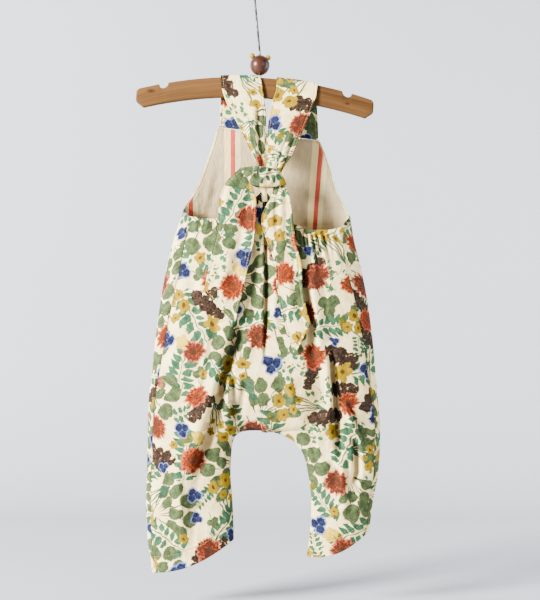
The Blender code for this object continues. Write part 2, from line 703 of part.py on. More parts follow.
def hanger_hook(collection, look):
    """The bent wire: a shank out of the bar, leaning over to a round hook."""
    centre_z = -HOOK_RADIUS + WIRE / 2
    shank = [(BEAD_X, bar_top(BEAD_X) - SOCKET_DEPTH + 1.0), (BEAD_X, -112.0),
             (BEAD_X, LEAN_FROM_Z)]
    for step in range(1, 5):
        share = step / 5
        shank.append((BEAD_X + (-HOOK_RADIUS - BEAD_X) * share,
                      LEAN_FROM_Z + (centre_z - LEAN_FROM_Z) * share))
    points = list(shank)
    turns = 13
    for step in range(turns + 1):
        angle = math.radians(180.0 + (HOOK_END_ANGLE - 180.0) * step / turns)
        points.append((HOOK_RADIUS * math.cos(angle), centre_z + HOOK_RADIUS * math.sin(angle)))
    wire = bpy.data.curves.new("hanger_hook", "CURVE")
    wire.dimensions = "3D"
    wire.bevel_depth = WIRE / 2 * MM
    wire.bevel_resolution = 2
    wire.use_fill_caps = True
    spline = wire.splines.new("POLY")
    spline.points.add(len(points) - 1)
    for place, (x, z) in zip(spline.points, points):
        place.co = (x * MM, 0.0, z * MM, 1.0)
    hook = bpy.data.objects.new("hanger_hook", wire)
    collection.objects.link(hook)
    wire.materials.append(look)
    return hook


def turned(name, profile, location, look, collection, steps=20):
    """A round piece: a profile turned about Z."""
    mesh_data = bmesh.new()
    verts = [mesh_data.verts.new((radius * MM, 0.0, z * MM)) for radius, z in profile]
    for start, end in zip(verts, verts[1:] + verts[:1]):
        mesh_data.edges.new((start, end))
    mesh = bpy.data.meshes.new(name)
    mesh_data.to_mesh(mesh)
    mesh_data.free()
    made = finish_object(name, mesh, collection, look)
    made.location = [value * MM for value in location]
    screw = made.modifiers.new("turn", "SCREW")
    screw.steps = steps
    screw.render_steps = steps
    screw.use_merge_vertices = True
    screw.merge_threshold = 0.00001
    return made


def beads(collection, brown, yellow):
    """The wooden bead on the shank and the two small beads beside it."""
    rings = 10
    bead_z = bar_top(BEAD_X) + STRAP_CLEAR + TIE_CLOTH / 2 + GAP + BEAD_HALF_HEIGHT
    limit = math.acos(BEAD_BORE / BEAD_RADIUS)
    profile = []
    for step in range(rings + 1):
        angle = limit * (1.0 - 2.0 * step / rings)
        profile.append((BEAD_RADIUS * math.cos(angle), BEAD_HALF_HEIGHT * math.sin(angle)))
    turned("hanger_bead", profile, (BEAD_X, 0.0, bead_z), brown, collection)
    for name, turn in (("ear_left", 128.0), ("ear_right", 44.0)):
        angle = math.radians(turn)
        reach = EAR_RADIUS + GAP
        x = BEAD_X + (BEAD_RADIUS + reach) * math.cos(angle)
        z = bead_z + (BEAD_HALF_HEIGHT + reach) * math.sin(angle)
        bpy.ops.mesh.primitive_uv_sphere_add(segments=14, ring_count=8, radius=EAR_RADIUS * MM,
                                             location=(x * MM, 0.0, z * MM))
        ear = bpy.context.object
        ear.name = name
        for holder in ear.users_collection:
            holder.objects.unlink(ear)
        collection.objects.link(ear)
        ear.data.materials.append(yellow)
        ear.data.shade_smooth()


def main():
    for old in list(bpy.data.objects):
        bpy.data.objects.remove(old)
    collection = parts_collection("baby_dungarees")
    guides = parts_collection("guides")
    printed = material("printed_cotton", (0.82, 0.76, 0.62), 0.85)
    lining = material("striped_lining", (0.62, 0.55, 0.44), 0.9)
    wood = material("hanger_wood", (0.45, 0.2, 0.08), 0.55)
    steel = material("hook_steel", (0.6, 0.6, 0.6), 0.3, 1.0)
    brown = material("bead_brown", (0.2, 0.06, 0.025), 0.25)
    yellow = material("bead_yellow", (0.8, 0.5, 0.02), 0.35)
    back_panel(collection, printed)
    front_and_lining(collection, printed, lining)
    straps(collection, printed)
    tails(collection, printed)
    knot_and_loop(collection, printed)
    hanger_bar(collection, guides, wood)
    hanger_hook(collection, steel)
    beads(collection, brown, yellow)


main()
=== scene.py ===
"""The look of the baby dungarees on their hanger: cloth, print, wood, wire, light and camera.

The frame is the CAD's: +Z up, +X to the wearer's right, +Y to the wearer's front.  Tables are in
millimetres, and MM turns them into metres where meshes are made.
"""

import math
from collections import namedtuple
from types import SimpleNamespace

import bpy
import numpy as np
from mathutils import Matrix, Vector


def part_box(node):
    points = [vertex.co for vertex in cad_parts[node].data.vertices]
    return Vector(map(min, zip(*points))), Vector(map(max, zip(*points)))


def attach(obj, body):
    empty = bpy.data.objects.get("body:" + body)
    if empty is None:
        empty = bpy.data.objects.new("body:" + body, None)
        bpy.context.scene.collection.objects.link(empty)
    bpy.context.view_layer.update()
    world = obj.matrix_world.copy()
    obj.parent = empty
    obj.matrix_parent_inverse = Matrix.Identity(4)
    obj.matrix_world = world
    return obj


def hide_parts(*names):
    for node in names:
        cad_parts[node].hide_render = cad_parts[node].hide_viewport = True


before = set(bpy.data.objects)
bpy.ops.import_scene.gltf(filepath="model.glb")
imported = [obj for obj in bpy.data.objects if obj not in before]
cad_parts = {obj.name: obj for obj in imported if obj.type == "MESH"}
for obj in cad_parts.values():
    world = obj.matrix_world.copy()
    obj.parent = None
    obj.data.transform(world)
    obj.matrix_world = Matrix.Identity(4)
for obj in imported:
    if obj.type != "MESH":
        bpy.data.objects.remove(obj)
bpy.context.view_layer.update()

MM = 0.001
SEED = 7

# ---------------------------------------------------------------- the form, as the CAD has it
WALL = 1.0                 # cloth with its folds pressed flat
SEAM_GAP = 0.25            # between the back's side edge and the front's
HALF_INSEAM = 0.15         # half the gap between them at the inner legs
LINING_STAND = 2.1         # from the front's outer face to the lining
HEM_BOW = 9.0              # how far the middle of a leg's hem hangs below its ends
HEM_BOW_FROM = 12          # the row of the body's table from which it does

Section = namedtuple("Section", "name left_x left_z left_in_x left_in_z right_in_x right_in_z "
                                "right_x right_z round front back seam fork")
BODY = [Section(*row) for row in (
    ("side_top",   -97.0, -289,   0.0, -298.0,  0.0, -298.0, 103.0, -299, 60, 22, 19,  9, 0.0),
    ("waist",     -106.0, -316,   0.0, -320.0,  0.0, -320.0, 106.5, -320, 62, 25, 22, 14, 0.0),
    ("hip",       -113.5, -344,   0.0, -347.0,  0.0, -347.0, 113.0, -346, 63, 27, 25, 17, 0.0),
    ("seat_top",  -121.0, -383,   0.0, -384.0,  0.0, -384.0, 121.0, -384, 64, 28, 28, 16, 0.0),
    ("seat",      -127.5, -430,  -1.0, -430.0, -1.0, -430.0, 127.5, -430, 64, 28, 29, 13, 0.0),
    ("seat_low",  -133.0, -478,  -2.0, -478.0, -2.0, -478.0, 132.0, -478, 62, 27, 28, 10, 0.0),
    ("above_fork", -136.5, -510, -3.0, -517.0, -3.0, -517.0, 134.5, -508, 58, 25, 26,  8, 0.4),
    ("fork",      -137.0, -529,  -4.0, -543.0, -4.0, -543.0, 136.2, -526, 55, 24, 24,  7, 0.8),
    ("arch_top",  -137.2, -540, -17.0, -543.0, 10.0, -545.0, 136.8, -536, 53, 23, 23,  7, 1.0),
    ("arch_turn", -137.4, -550, -29.0, -545.7, 23.0, -549.3, 137.0, -546, 51, 22, 22,  7, 1.0),
    ("arch_side", -137.6, -561, -36.0, -554.0, 36.0, -557.0, 137.0, -556, 50, 22, 21,  7, 1.0),
    ("thigh",     -137.9, -577, -38.5, -570.0, 46.5, -572.0, 136.5, -570, 49, 21, 20,  7, 1.0),
    ("knee",      -138.7, -606, -39.5, -597.0, 52.2, -596.0, 134.0, -598, 48, 20, 19,  6, 1.0),
    ("calf",      -139.0, -639, -37.5, -622.0, 55.5, -624.0, 129.5, -621, 46, 19, 17,  6, 1.0),
    ("shin",      -137.0, -674, -36.2, -648.0, 54.5, -657.0, 126.7, -641, 44, 18, 16,  5, 1.0),
    ("hem",       -132.0, -710, -35.6, -671.0, 50.5, -691.0, 124.0, -661, 43, 17, 15,  5, 1.0),
)]
Bib = namedtuple("Bib", "name left_x left_z left_cut mid_x mid_z right_x right_z right_cut "
                        "round front back")
BIB = [Bib(*row) for row in (
    ("bib_top",    -90.0, -183.5, 34.5, 5.0, -191.5,  98.0, -200.0, 32.3, 60, 10, 10),
    ("bib_high",   -90.5, -204.0, 29.5, 4.0, -210.0,  98.5, -214.0, 26.5, 60, 11, 11),
    ("bib_middle", -91.0, -227.0, 22.0, 3.0, -231.0,  99.0, -233.0, 20.5, 60, 13, 13),
    ("bib_low",    -92.0, -248.0, 15.5, 2.0, -252.0,  99.5, -254.0, 15.0, 60, 16, 15),
    ("armhole",    -93.5, -263.0,  9.0, 1.0, -267.0, 100.0, -270.0,  8.5, 60, 18, 17),
    ("underarm",   -95.0, -276.0,  3.0, 0.0, -281.0, 101.0, -284.0,  3.0, 60, 20, 18),
    ("side_turn",  -96.0, -283.5, -2.5, 0.0, -290.0, 102.2, -292.5, -2.5, 60, 21, 19),
)]
Edge = namedtuple("Edge", "x z")
WAIST_EDGE = [Edge(*row) for row in (
    (-97, -289), (-86, -291), (-70, -294), (-50, -294), (-24, -281), (0, -263),
    (20, -281), (36, -301), (52, -307), (75, -307), (92, -304), (103, -299),
)]
WAIST_FADE = 60.0          # over this depth the rows even out the curve of that edge

# Ties, in levels down from the bar: edges, depth of the middle, and how far it stands out.
Band = namedtuple("Band", "left_x left_z right_x right_z y crown")
LEFT_STRAP_OVER = (-51.0, -4.0)
RIGHT_STRAP_OVER = (15.0, 62.7)
LEFT_STRAP_FAR = (-52.5, -7.0)       # edges where the same ties meet the bib on the far side
RIGHT_STRAP_FAR = (17.0, 64.4)
LEFT_STRAP_DOWN = [Band(*row) for row in (
    (-50.0, -139.0, -1.5, -139.0,  -6.9, 0.0),
    (-46.0, -152.0,  0.0, -152.0,  -7.8, 0.5),
    (-39.0, -168.0,  2.2, -168.0, -10.0, 1.5),
    (-29.5, -185.0,  2.4, -185.0, -13.0, 3.0),
    (-21.0, -203.0,  2.2, -203.0, -16.5, 4.0),
    (-13.5, -219.0,  2.0, -219.0, -20.0, 4.0),
    ( -8.5, -230.0,  1.6, -230.0, -22.0, 3.5),
    ( -6.5, -243.0,  1.2, -243.0, -24.0, 3.0),
)]
RIGHT_STRAP_DOWN = [Band(*row) for row in (
    ( 14.5, -142.5, 61.8, -146.0,  -6.9, 0.0),
    ( 10.8, -153.0, 59.8, -156.0,  -7.8, 0.5),
    (  7.0, -168.0, 54.8, -170.0, -10.0, 1.2),
    (  4.8, -185.0, 47.5, -186.5, -13.0, 2.5),
    (  3.6, -203.0, 40.0, -204.0, -16.5, 4.0),
    (  3.2, -218.0, 33.0, -218.5, -19.5, 5.0),
    (  3.0, -230.0, 26.0, -230.0, -22.0, 5.0),
    (  2.8, -243.0, 19.0, -243.0, -24.0, 4.0),
)]
Tail = namedtuple("Tail", "left_x left_z right_x right_z off")
LEFT_TAIL = [Tail(*row) for row in (
    (-27.2, -236.0, -14.0, -257.6,  6.0),
    (-35.5, -243.5, -12.2, -263.0,  7.5),
    (-44.0, -253.5, -10.0, -268.0,  8.5),
    (-50.5, -267.5,  -8.6, -277.5,  9.0),
    (-52.5, -287.0,  -8.6, -292.0,  9.0),
    (-54.5, -308.0,  -9.5, -309.0,  8.0),
    (-59.5, -328.0, -13.0, -329.0,  6.5),
    (-62.8, -348.0, -18.0, -350.0,  5.5),
    (-67.0, -367.0, -24.0, -376.0,  4.5),
    (-69.5, -379.0, -28.0, -394.0,  4.2),
    (-54.0, -395.0, -30.5, -404.0,  4.4),
    (-37.0, -412.0, -33.0, -414.0,  4.6),
)]
RIGHT_TAIL = [Tail(*row) for row in (
    ( 11.0, -255.5,  24.5, -256.5,  6.5),
    (  9.0, -268.0,  29.0, -268.0,  8.0),
    ( -1.0, -287.0,  32.5, -287.0,  8.0),
    ( -3.0, -298.0,  34.0, -299.0,  7.5),
    (  0.5, -313.0,  35.5, -312.0,  7.0),
    (  7.0, -330.0,  38.5, -329.0,  6.0),
    ( 13.5, -348.0,  43.0, -347.0,  5.0),
    ( 14.6, -369.0,  44.0, -368.0,  4.5),
    ( 17.7, -388.0,  46.0, -386.0,  4.0),
    ( 21.0, -406.0,  50.0, -402.0,  4.0),
    ( 28.0, -432.0,  54.0, -416.0,  4.0),
    ( 34.5, -449.5,  38.0, -446.5,  4.0),
)]
KNOT_Y = -25.5
KNOT_HALF_DEPTH = 10.5
KEEPER = (-4.9, 3.7, -274.5, -249.0)  # left, right, bottom, top
KEEPER_OFF = 3.2           # how far it stands off the back's form,
KEEPER_CROWN = 0.8         # its middle by this much more
KEEPER_STITCH = 1.2        # in from its edges

# ---------------------------------------------------------------- folds
# Each is a line of points (x, z) on the cloth as seen from behind, how far it reaches to the left
# and to the right, its height (below zero for a trough), and over what share of its length it
# rises and dies away.
Fold = namedtuple("Fold", "name points left right height rise fade")
BACK_FOLDS = [Fold(*row) for row in (
    ("middle_pleat_left", ((-4, -285), (-1, -318), (1, -360), (0, -410), (-1, -455)),
     15, 3.2, 2.0, 0.1, 0.35),
    ("middle_pleat_line", ((-1, -290), (0.5, -320), (1.5, -360), (1, -412), (0, -474)),
     2.4, 4.5, -4.2, 0.05, 0.4),
    ("middle_pleat_right", ((12, -330), (13, -380), (10, -440)), 6, 12, 1.5, 0.3, 0.5),
    ("left_hip_ridge", ((-33, -404), (-38, -424), (-45, -445), (-52, -468), (-62, -508),
                        (-78, -560), (-96, -618)), 26, 5, 4.2, 0.12, 0.35),
    ("left_hip_trough", ((-30, -410), (-33, -432), (-40, -452), (-47, -474), (-55, -510),
                         (-71, -564), (-88, -625)), 4.5, 12, -4.4, 0.1, 0.45),
    ("left_pocket", ((-49, -483), (-48, -492), (-52, -503)), 5, 6, -3.5, 0.3, 0.4),
    ("left_inner_ridge", ((-42, -468), (-41.5, -500), (-42, -530), (-46, -560)),
     7, 4, 3.0, 0.2, 0.3),
    ("left_inner_line", ((-37, -470), (-37, -505), (-38, -540)), 3, 8, -2.2, 0.2, 0.3),
    ("left_shin_drape", ((-104, -560), (-100, -620), (-96, -690)), 14, 12, 2.2, 0.4, 0.3),
    ("left_side_drape", ((-112, -400), (-118, -460), (-120, -530)), 10, 12, -2.0, 0.4, 0.4),
    ("left_seat_drape", ((-78, -330), (-84, -380), (-80, -440)), 14, 10, -2.0, 0.4, 0.4),
    ("right_tail_shadow", ((43, -352), (48, -385), (54, -420), (53, -450), (55, -475)),
     5, 7, -4.2, 0.15, 0.4),
    ("right_tail_ridge", ((50, -345), (58, -385), (64, -430), (63, -470)), 5, 14, 2.6, 0.2, 0.4),
    ("right_thigh_trough", ((78, -440), (80, -478), (83, -500), (84, -520), (86, -560),
                            (92, -590)), 5, 7, -6.5, 0.2, 0.35),
    ("right_thigh_lip", ((72, -445), (74, -480), (77, -502), (77, -525), (80, -560)),
     16, 4.5, 4.0, 0.25, 0.35),
    ("right_knee_ridge", ((92, -505), (98, -522), (104, -536), (110, -548), (116, -568)),
     9, 5, 4.2, 0.2, 0.4),
    ("right_knee_hollow", ((104, -545), (108, -568), (108, -590), (103, -612)),
     6, 8, -5.0, 0.25, 0.35),
    ("right_shin_ridge", ((88, -560), (92, -600), (96, -650)), 12, 8, 2.5, 0.3, 0.4),
    ("arch_right_drape", ((57, -515), (60, -545), (64, -580), (66, -640)), 5, 12, 2.4, 0.2, 0.4),
    ("arch_middle_drape", ((24, -470), (34, -505), (44, -535)), 10, 5, 2.0, 0.3, 0.2),
    ("arch_left_drape", ((-22, -475), (-28, -505), (-34, -535)), 4, 9, -1.8, 0.3, 0.2),
    ("right_side_drape", ((118, -385), (124, -440), (126, -500)), 12, 8, -2.2, 0.4, 0.4),
    ("hem_tuck_a", ((-79, -656), (-80, -676), (-80, -696)), 1.8, 2.6, 1.5, 0.5, 0.1),
    ("hem_tuck_b", ((-74, -662), (-75, -680), (-75, -698)), 1.6, 2.2, 1.7, 0.4, 0.1),
    ("hem_tuck_c", ((-69, -652), (-70, -672), (-70, -694)), 1.8, 2.4, 1.4, 0.5, 0.1),
    ("hem_tuck_d", ((-63, -658), (-64, -674), (-64, -690)), 1.7, 2.8, 1.3, 0.4, 0.1),
)]
# Gathers under the elastic: place on the edge, length, lean to the right, reach and height.
Gather = namedtuple("Gather", "x length lean reach height")
GATHERS = [Gather(*row) for row in (
    (-88, 34, -6, 3.2, 1.0), (-79, 46, -7, 4.0, 1.3), (-66, 30, -4, 3.4, 1.0),
    (-55, 52, -4, 3.2, 1.4), (-46, 38, -2, 2.8, 1.2), (37.5, 40, 3, 2.4, 2.0),
    (42.5, 56, 5, 2.3, 2.4), (47.5, 38, 6, 2.2, 2.2), (52.5, 66, 10, 2.6, 2.6),
    (58.5, 44, 8, 2.5, 1.9), (65, 70, 14, 3.4, 2.2), (72.5, 40, 9, 2.8, 1.4),
    (79, 58, 13, 3.6, 1.6), (87, 36, 9, 3.0, 1.1), (94, 42, 9, 3.2, 1.0),
)]
GATHER_GAIN = 2.3
GATHER_SPREAD = 0.9        # how much wider a gather is at its lower end
GATHER_ABOVE = 4.0         # mm over the edge where a gather starts to rise,
GATHER_RISE = 6.0          # and over how many it does
FRONT_FOLDS = [Fold(*row) for row in (
    ("left_front_drape", ((-40, -320), (-52, -380), (-62, -440), (-76, -560)),
     18, 10, -3.6, 0.3, 0.3),
    ("left_front_ridge", ((-54, -330), (-66, -400), (-80, -470), (-92, -580)),
     10, 14, 2.4, 0.3, 0.3),
    ("right_front_drape", ((44, -315), (56, -380), (66, -430), (84, -548)),
     10, 18, -3.6, 0.3, 0.3),
    ("right_front_ridge", ((58, -330), (74, -410), (88, -500)), 12, 10, 2.2, 0.3, 0.3),
    ("middle_front_ridge", ((6, -350), (2, -440), (-4, -510)), 12, 16, 2.6, 0.4, 0.3),
    ("left_crotch_drape", ((-8, -512), (-34, -530), (-60, -560)), 7, 7, -3.0, 0.2, 0.5),
    ("right_crotch_drape", ((4, -514), (38, -535), (66, -566)), 7, 7, -3.0, 0.2, 0.5),
    ("bib_left_drape", ((-52, -230), (-66, -275), (-72, -330)), 12, 9, 1.6, 0.4, 0.4),
    ("bib_right_drape", ((58, -235), (72, -280), (76, -335)), 9, 12, 1.6, 0.4, 0.4),
)]
LINING_FOLDS = [Fold(*row) for row in (
    ("lining_right", ((76, -220), (83, -255), (88, -285)), 7, 5, 1.8, 0.3, 0.3),
    ("lining_left", ((-60, -215), (-66, -250), (-70, -290)), 6, 8, 1.4, 0.3, 0.3),
    ("lining_ripple", ((52, -235), (56, -270), (57, -310)), 8, 5, 1.0, 0.3, 0.3),
)]
STRAP_FOLDS = [Fold(*row) for row in (
    ("left_crease", ((-10, -118), (-7.5, -155), (-8, -188), (-3.5, -215), (-2.5, -240)),
     2.2, 6, -1.8, 0.2, 0.1),
    ("left_crest", ((-13, -130), (-11, -160), (-11, -190), (-8, -220), (-5, -240)),
     9, 2.2, 1.6, 0.3, 0.1),
    ("left_gather", ((-22, -170), (-15, -205), (-8, -235)), 4, 3, 1.2, 0.5, 0.1),
    ("right_gather_a", ((44, -175), (31, -210), (19, -240)), 3, 3, -1.6, 0.5, 0.05),
    ("right_gather_b", ((33, -180), (22, -212), (14, -240)), 3.5, 3, -1.5, 0.5, 0.05),
    ("right_gather_c", ((14, -190), (9, -215), (7.5, -240)), 3, 4, 1.3, 0.5, 0.05),
)]
TAIL_FOLDS = [Fold(*row) for row in (
    ("left_top_roll", ((-28, -238), (-40, -256), (-47, -280), (-49, -305)), 6, 9, 2.0, 0.1, 0.5),
    ("left_middle", ((-18, -262), (-26, -300), (-34, -350), (-44, -385)), 9, 7, -1.6, 0.2, 0.3),
    ("left_low", ((-40, -330), (-46, -360), (-56, -382)), 8, 10, 1.4, 0.3, 0.3),
    ("right_top_a", ((20, -257), (20, -280), (18, -310), (24, -345)), 4, 7, 2.2, 0.1, 0.4),
    ("right_top_b", ((14, -262), (12, -290), (14, -320)), 3, 4, -1.6, 0.2, 0.4),
    ("right_low", ((28, -345), (30, -380), (36, -420)), 9, 6, 1.8, 0.3, 0.3),
    ("right_edge", ((40, -330), (41, -370), (46, -405)), 5, 4, -1.2, 0.3, 0.3),
)]
KNOT_FOLDS = [Fold(*row) for row in (
    ("knot_pleat_left", ((-20, -233), (-12, -243), (-3, -257)), 3, 6, -2.0, 0.1, 0.1),
    ("knot_pleat_middle", ((7.5, -234), (0, -246), (-7, -257)), 7, 2.4, 2.4, 0.1, 0.1),
    ("knot_pleat_right", ((17, -240), (11, -248), (6, -257)), 6, 2.2, 2.0, 0.1, 0.1),
)]


def smooth_step(value):
    """0 to 1 with soft ends."""
    value = np.clip(value, 0.0, 1.0)
    return value * value * (3.0 - 2.0 * value)


def between(start, end, share):
    """A share of the way from start to end."""
    return start + (end - start) * share


def turned(x, y, angle):
    """The coordinates of points along axes that are turned by an angle."""
    return (x * np.cos(angle) + y * np.sin(angle), y * np.cos(angle) - x * np.sin(angle))


def spline(rows, positions):
    """Rows of numbers between the given ones, on a smooth curve through them."""
    rows = np.asarray(rows, float)
    last = len(rows) - 1
    index = np.clip(positions.astype(int), 0, last - 1)
    t = (positions - index).reshape((-1,) + (1,) * (rows.ndim - 1))
    before, start, end, after = (rows[np.clip(index + k, 0, last)] for k in (-1, 0, 1, 2))
    slope_in, slope_out = (end - before) / 2, (after - start) / 2
    return ((2 * t ** 3 - 3 * t ** 2 + 1) * start + (t ** 3 - 2 * t ** 2 + t) * slope_in
            + (3 * t ** 2 - 2 * t ** 3) * end + (t ** 3 - t ** 2) * slope_out)


def table_at(table, positions):
    """The numbers of a table between its rows, each as a column under its name."""
    fields = [f for f in table[0]._fields if f != "name"]
    values = spline([[getattr(row, f) for f in fields] for row in table], positions)
    return SimpleNamespace(**{f: values[:, i, None] for i, f in enumerate(fields)})


INNER = ("left_in_x", "left_in_z", "right_in_x", "right_in_z")


def steady_body(positions):
    """The body's numbers; the inner edge's stay between the table's rows, with no overshoot."""
    row = table_at(BODY, positions)
    index = np.clip(positions.astype(int), 0, len(BODY) - 2)
    for field in INNER:
        known = np.array([getattr(section, field) for section in BODY], float)
        ends = np.sort(np.stack([known[index], known[index + 1]]), axis=0)[:, :, None]
        setattr(row, field, np.clip(getattr(row, field), *ends))
    return row


def on_side(row, side, *ends):
    """The numbers of a row for its left (side below 0) or right."""
    return [getattr(row, ("left_" if side < 0 else "right_") + end) for end in ends]


def row_positions(table, pitch):
    """Positions along a table in steps of about pitch down its left edge."""
    positions = [np.zeros(1)]
    for index, (upper, lower) in enumerate(zip(table, table[1:])):
        length = math.hypot(lower.left_x - upper.left_x, lower.left_z - upper.left_z)
        steps = max(1, round(length / pitch))
        positions.append(index + np.arange(1, steps + 1) / steps)
    return np.concatenate(positions)


def line_distance(x, z, points):
    """Distance to a line of points, side of it (above zero on its right), share of its length."""
    best, side, share = np.full(x.shape, 1e9), np.zeros(x.shape), np.zeros(x.shape)
    lengths = [math.dist(a, b) for a, b in zip(points, points[1:])]
    done = 0.0
    for (x0, z0), (x1, z1), length in zip(points, points[1:], lengths):
        dx, dz = x1 - x0, z1 - z0
        t = np.clip(((x - x0) * dx + (z - z0) * dz) / max(length ** 2, 1e-9), 0, 1)
        off_x, off_z = x - x0 - dx * t, z - z0 - dz * t
        distance = np.hypot(off_x, off_z)
        nearer = distance < best
        best = np.where(nearer, distance, best)
        side = np.where(nearer, dx * off_z - dz * off_x, side)
        share = np.where(nearer, (done + t * length) / sum(lengths), share)
        done += length
    return best, side, share


def fold_height(folds, x, z):
    """How far the folds move the cloth out at each point."""
    height = np.zeros(x.shape)
    for fold in folds:
        distance, side, share = line_distance(x, z, fold.points)
        reach = np.where(side > 0, fold.right, fold.left)
        strength = smooth_step(share / fold.rise) * smooth_step((1 - share) / fold.fade)
        height += fold.height * strength * (1 - smooth_step(distance / reach))
    return height


def gather_height(x, z):
    """Height of the gathers below the elastic edge."""
    height = np.zeros(x.shape)
    for gather in GATHERS:
        down = waist_edge(np.full(x.shape, float(gather.x))) - z
        share = np.clip(down / gather.length, 0, 1)
        centre = gather.x + gather.lean * share
        reach = gather.reach * (1 + GATHER_SPREAD * share)
        strength = (1 - smooth_step(share)) * smooth_step((down + GATHER_ABOVE) / GATHER_RISE)
        height += gather.height * strength * (1 - smooth_step(np.abs(x - centre) / reach))
    return GATHER_GAIN * height


# Crinkles of each piece: height, size and seed of each layer.
BACK_CRINKLES = (0.4, 13, 1), (0.25, 6, 2)
FRONT_CRINKLES = ((0.4, 13, 4),)
BIB_CRINKLES = ((0.3, 13, 4),)
LINING_CRINKLES = ((0.3, 7, 11),)
STRAP_CRINKLES = (0.35, 9, 21), (0.25, 5, 22)
TAIL_CRINKLES = (0.3, 11, 31), (0.2, 5, 32)
CRINKLE_GRID = 64


def crinkle(u, v, size, seed):
    """Small uneven bumps, from -1 to 1, about size across."""
    table = np.random.default_rng(seed).uniform(-1, 1, (CRINKLE_GRID, CRINKLE_GRID))
    a, b = u / size, v / size
    i, j = np.floor(a).astype(int), np.floor(b).astype(int)
    s, t = smooth_step(a - i), smooth_step(b - j)
    corner = [table[(i + p) % CRINKLE_GRID, (j + q) % CRINKLE_GRID]
              for p in (0, 1) for q in (0, 1)]
    return ((corner[0] * (1 - t) + corner[1] * t) * (1 - s)
            + (corner[2] * (1 - t) + corner[3] * t) * s)


def crinkles(x, z, layers):
    """Crinkles in several layers."""
    return sum(height * crinkle(x, z, size, seed) for height, size, seed in layers)


FOLD_GAIN = 1.9            # how much higher the back's folds are made than their table says
DRAPES = 60
BACK_DRAPES, FRONT_DRAPES = 3, 5       # their seeds
DRAPES_X = (-135.0, 135.0)
DRAPES_Z = (-680.0, -300.0)
DRAPE_LENGTHS = (30, 90)
DRAPE_LEANS = (-0.3, 0.3)
DRAPE_BENDS = (-2, 2)
DRAPE_REACHES = (3, 9)
DRAPE_HEIGHTS = (-1.5, 1.5)
DRAPE_RISE, DRAPE_FADE = 0.4, 0.5


def drapes(x, z, seed):
    """Many soft short folds that hang down, uneven in length, depth and place."""
    rng = np.random.default_rng(seed)
    folds = []
    for _ in range(DRAPES):
        x0, z0 = rng.uniform(*DRAPES_X), rng.uniform(*DRAPES_Z)
        length, lean = rng.uniform(*DRAPE_LENGTHS), rng.uniform(*DRAPE_LEANS)
        points = ((x0, z0),
                  (x0 + lean * length / 2 + rng.uniform(*DRAPE_BENDS), z0 - length / 2),
                  (x0 + lean * length, z0 - length))
        folds.append(Fold("drape", points, rng.uniform(*DRAPE_REACHES),
                          rng.uniform(*DRAPE_REACHES), rng.uniform(*DRAPE_HEIGHTS),
                          DRAPE_RISE, DRAPE_FADE))
    return fold_height(folds, x, z)


def waist_edge(x):
    """Height of the back's top edge at x."""
    height = np.full(x.shape, float(WAIST_EDGE[-1].z))
    for start, end in reversed(list(zip(WAIST_EDGE, WAIST_EDGE[1:]))):
        share = smooth_step((x - start.x) / (end.x - start.x))
        height = np.where(x <= end.x, between(start.z, end.z, share), height)
    return height


FORK = [section.name for section in BODY].index("fork")
INSEAM_POINTS = 60         # on each side of the fork


def inseam_line():
    """Points of the arch and inner legs, from the left hem over the fork to the right."""
    row = steady_body(np.linspace(FORK, len(BODY) - 1, INSEAM_POINTS))
    left = list(zip(row.left_in_x[:, 0], row.left_in_z[:, 0]))
    right = list(zip(row.right_in_x[:, 0], row.right_in_z[:, 0]))
    return left[::-1] + right[1:]


INSEAM = inseam_line()


def edge_curve(reach, *distances):
    """Depth of a form with round edges: 0 on an edge, and 1 from reach inwards of them all."""
    lost = sum(np.maximum(1 - distance / reach, 0) ** 2 for distance in distances)
    return np.sqrt(np.maximum(1 - lost, 0))


def half_offsets(edge, reach, width, fork, curved, flat):
    """Distances in from the outer edge to each column of a half panel."""
    turn = np.arccos(1 - np.abs(edge) / reach) * np.sign(edge)
    angle = turn + (math.pi / 2 - turn) * np.arange(curved + 1) / curved
    offsets = np.sign(angle) * reach * (1 - np.cos(angle))
    share = 1 - (1 - np.arange(1, flat + 1) / flat) ** MIDDLE_CROWDING
    eased = (1 - fork) * share + fork * np.sin(math.pi / 2 * share)
    return np.concatenate([offsets, reach + (width - reach) * eased], axis=1)


def back_y(x, z, edge_distance, row, plain=False):
    """Y of the back's outer face."""
    inseam = line_distance(x, z, INSEAM)[0]
    curve = edge_curve(row.round, edge_distance, inseam)
    if plain:
        return -row.back * curve
    small = drapes(x, z, BACK_DRAPES) + crinkles(x, z, BACK_CRINKLES)
    height = FOLD_GAIN * fold_height(BACK_FOLDS, x, z) + gather_height(x, z) + small
    return -row.back * curve - height * curve ** 2


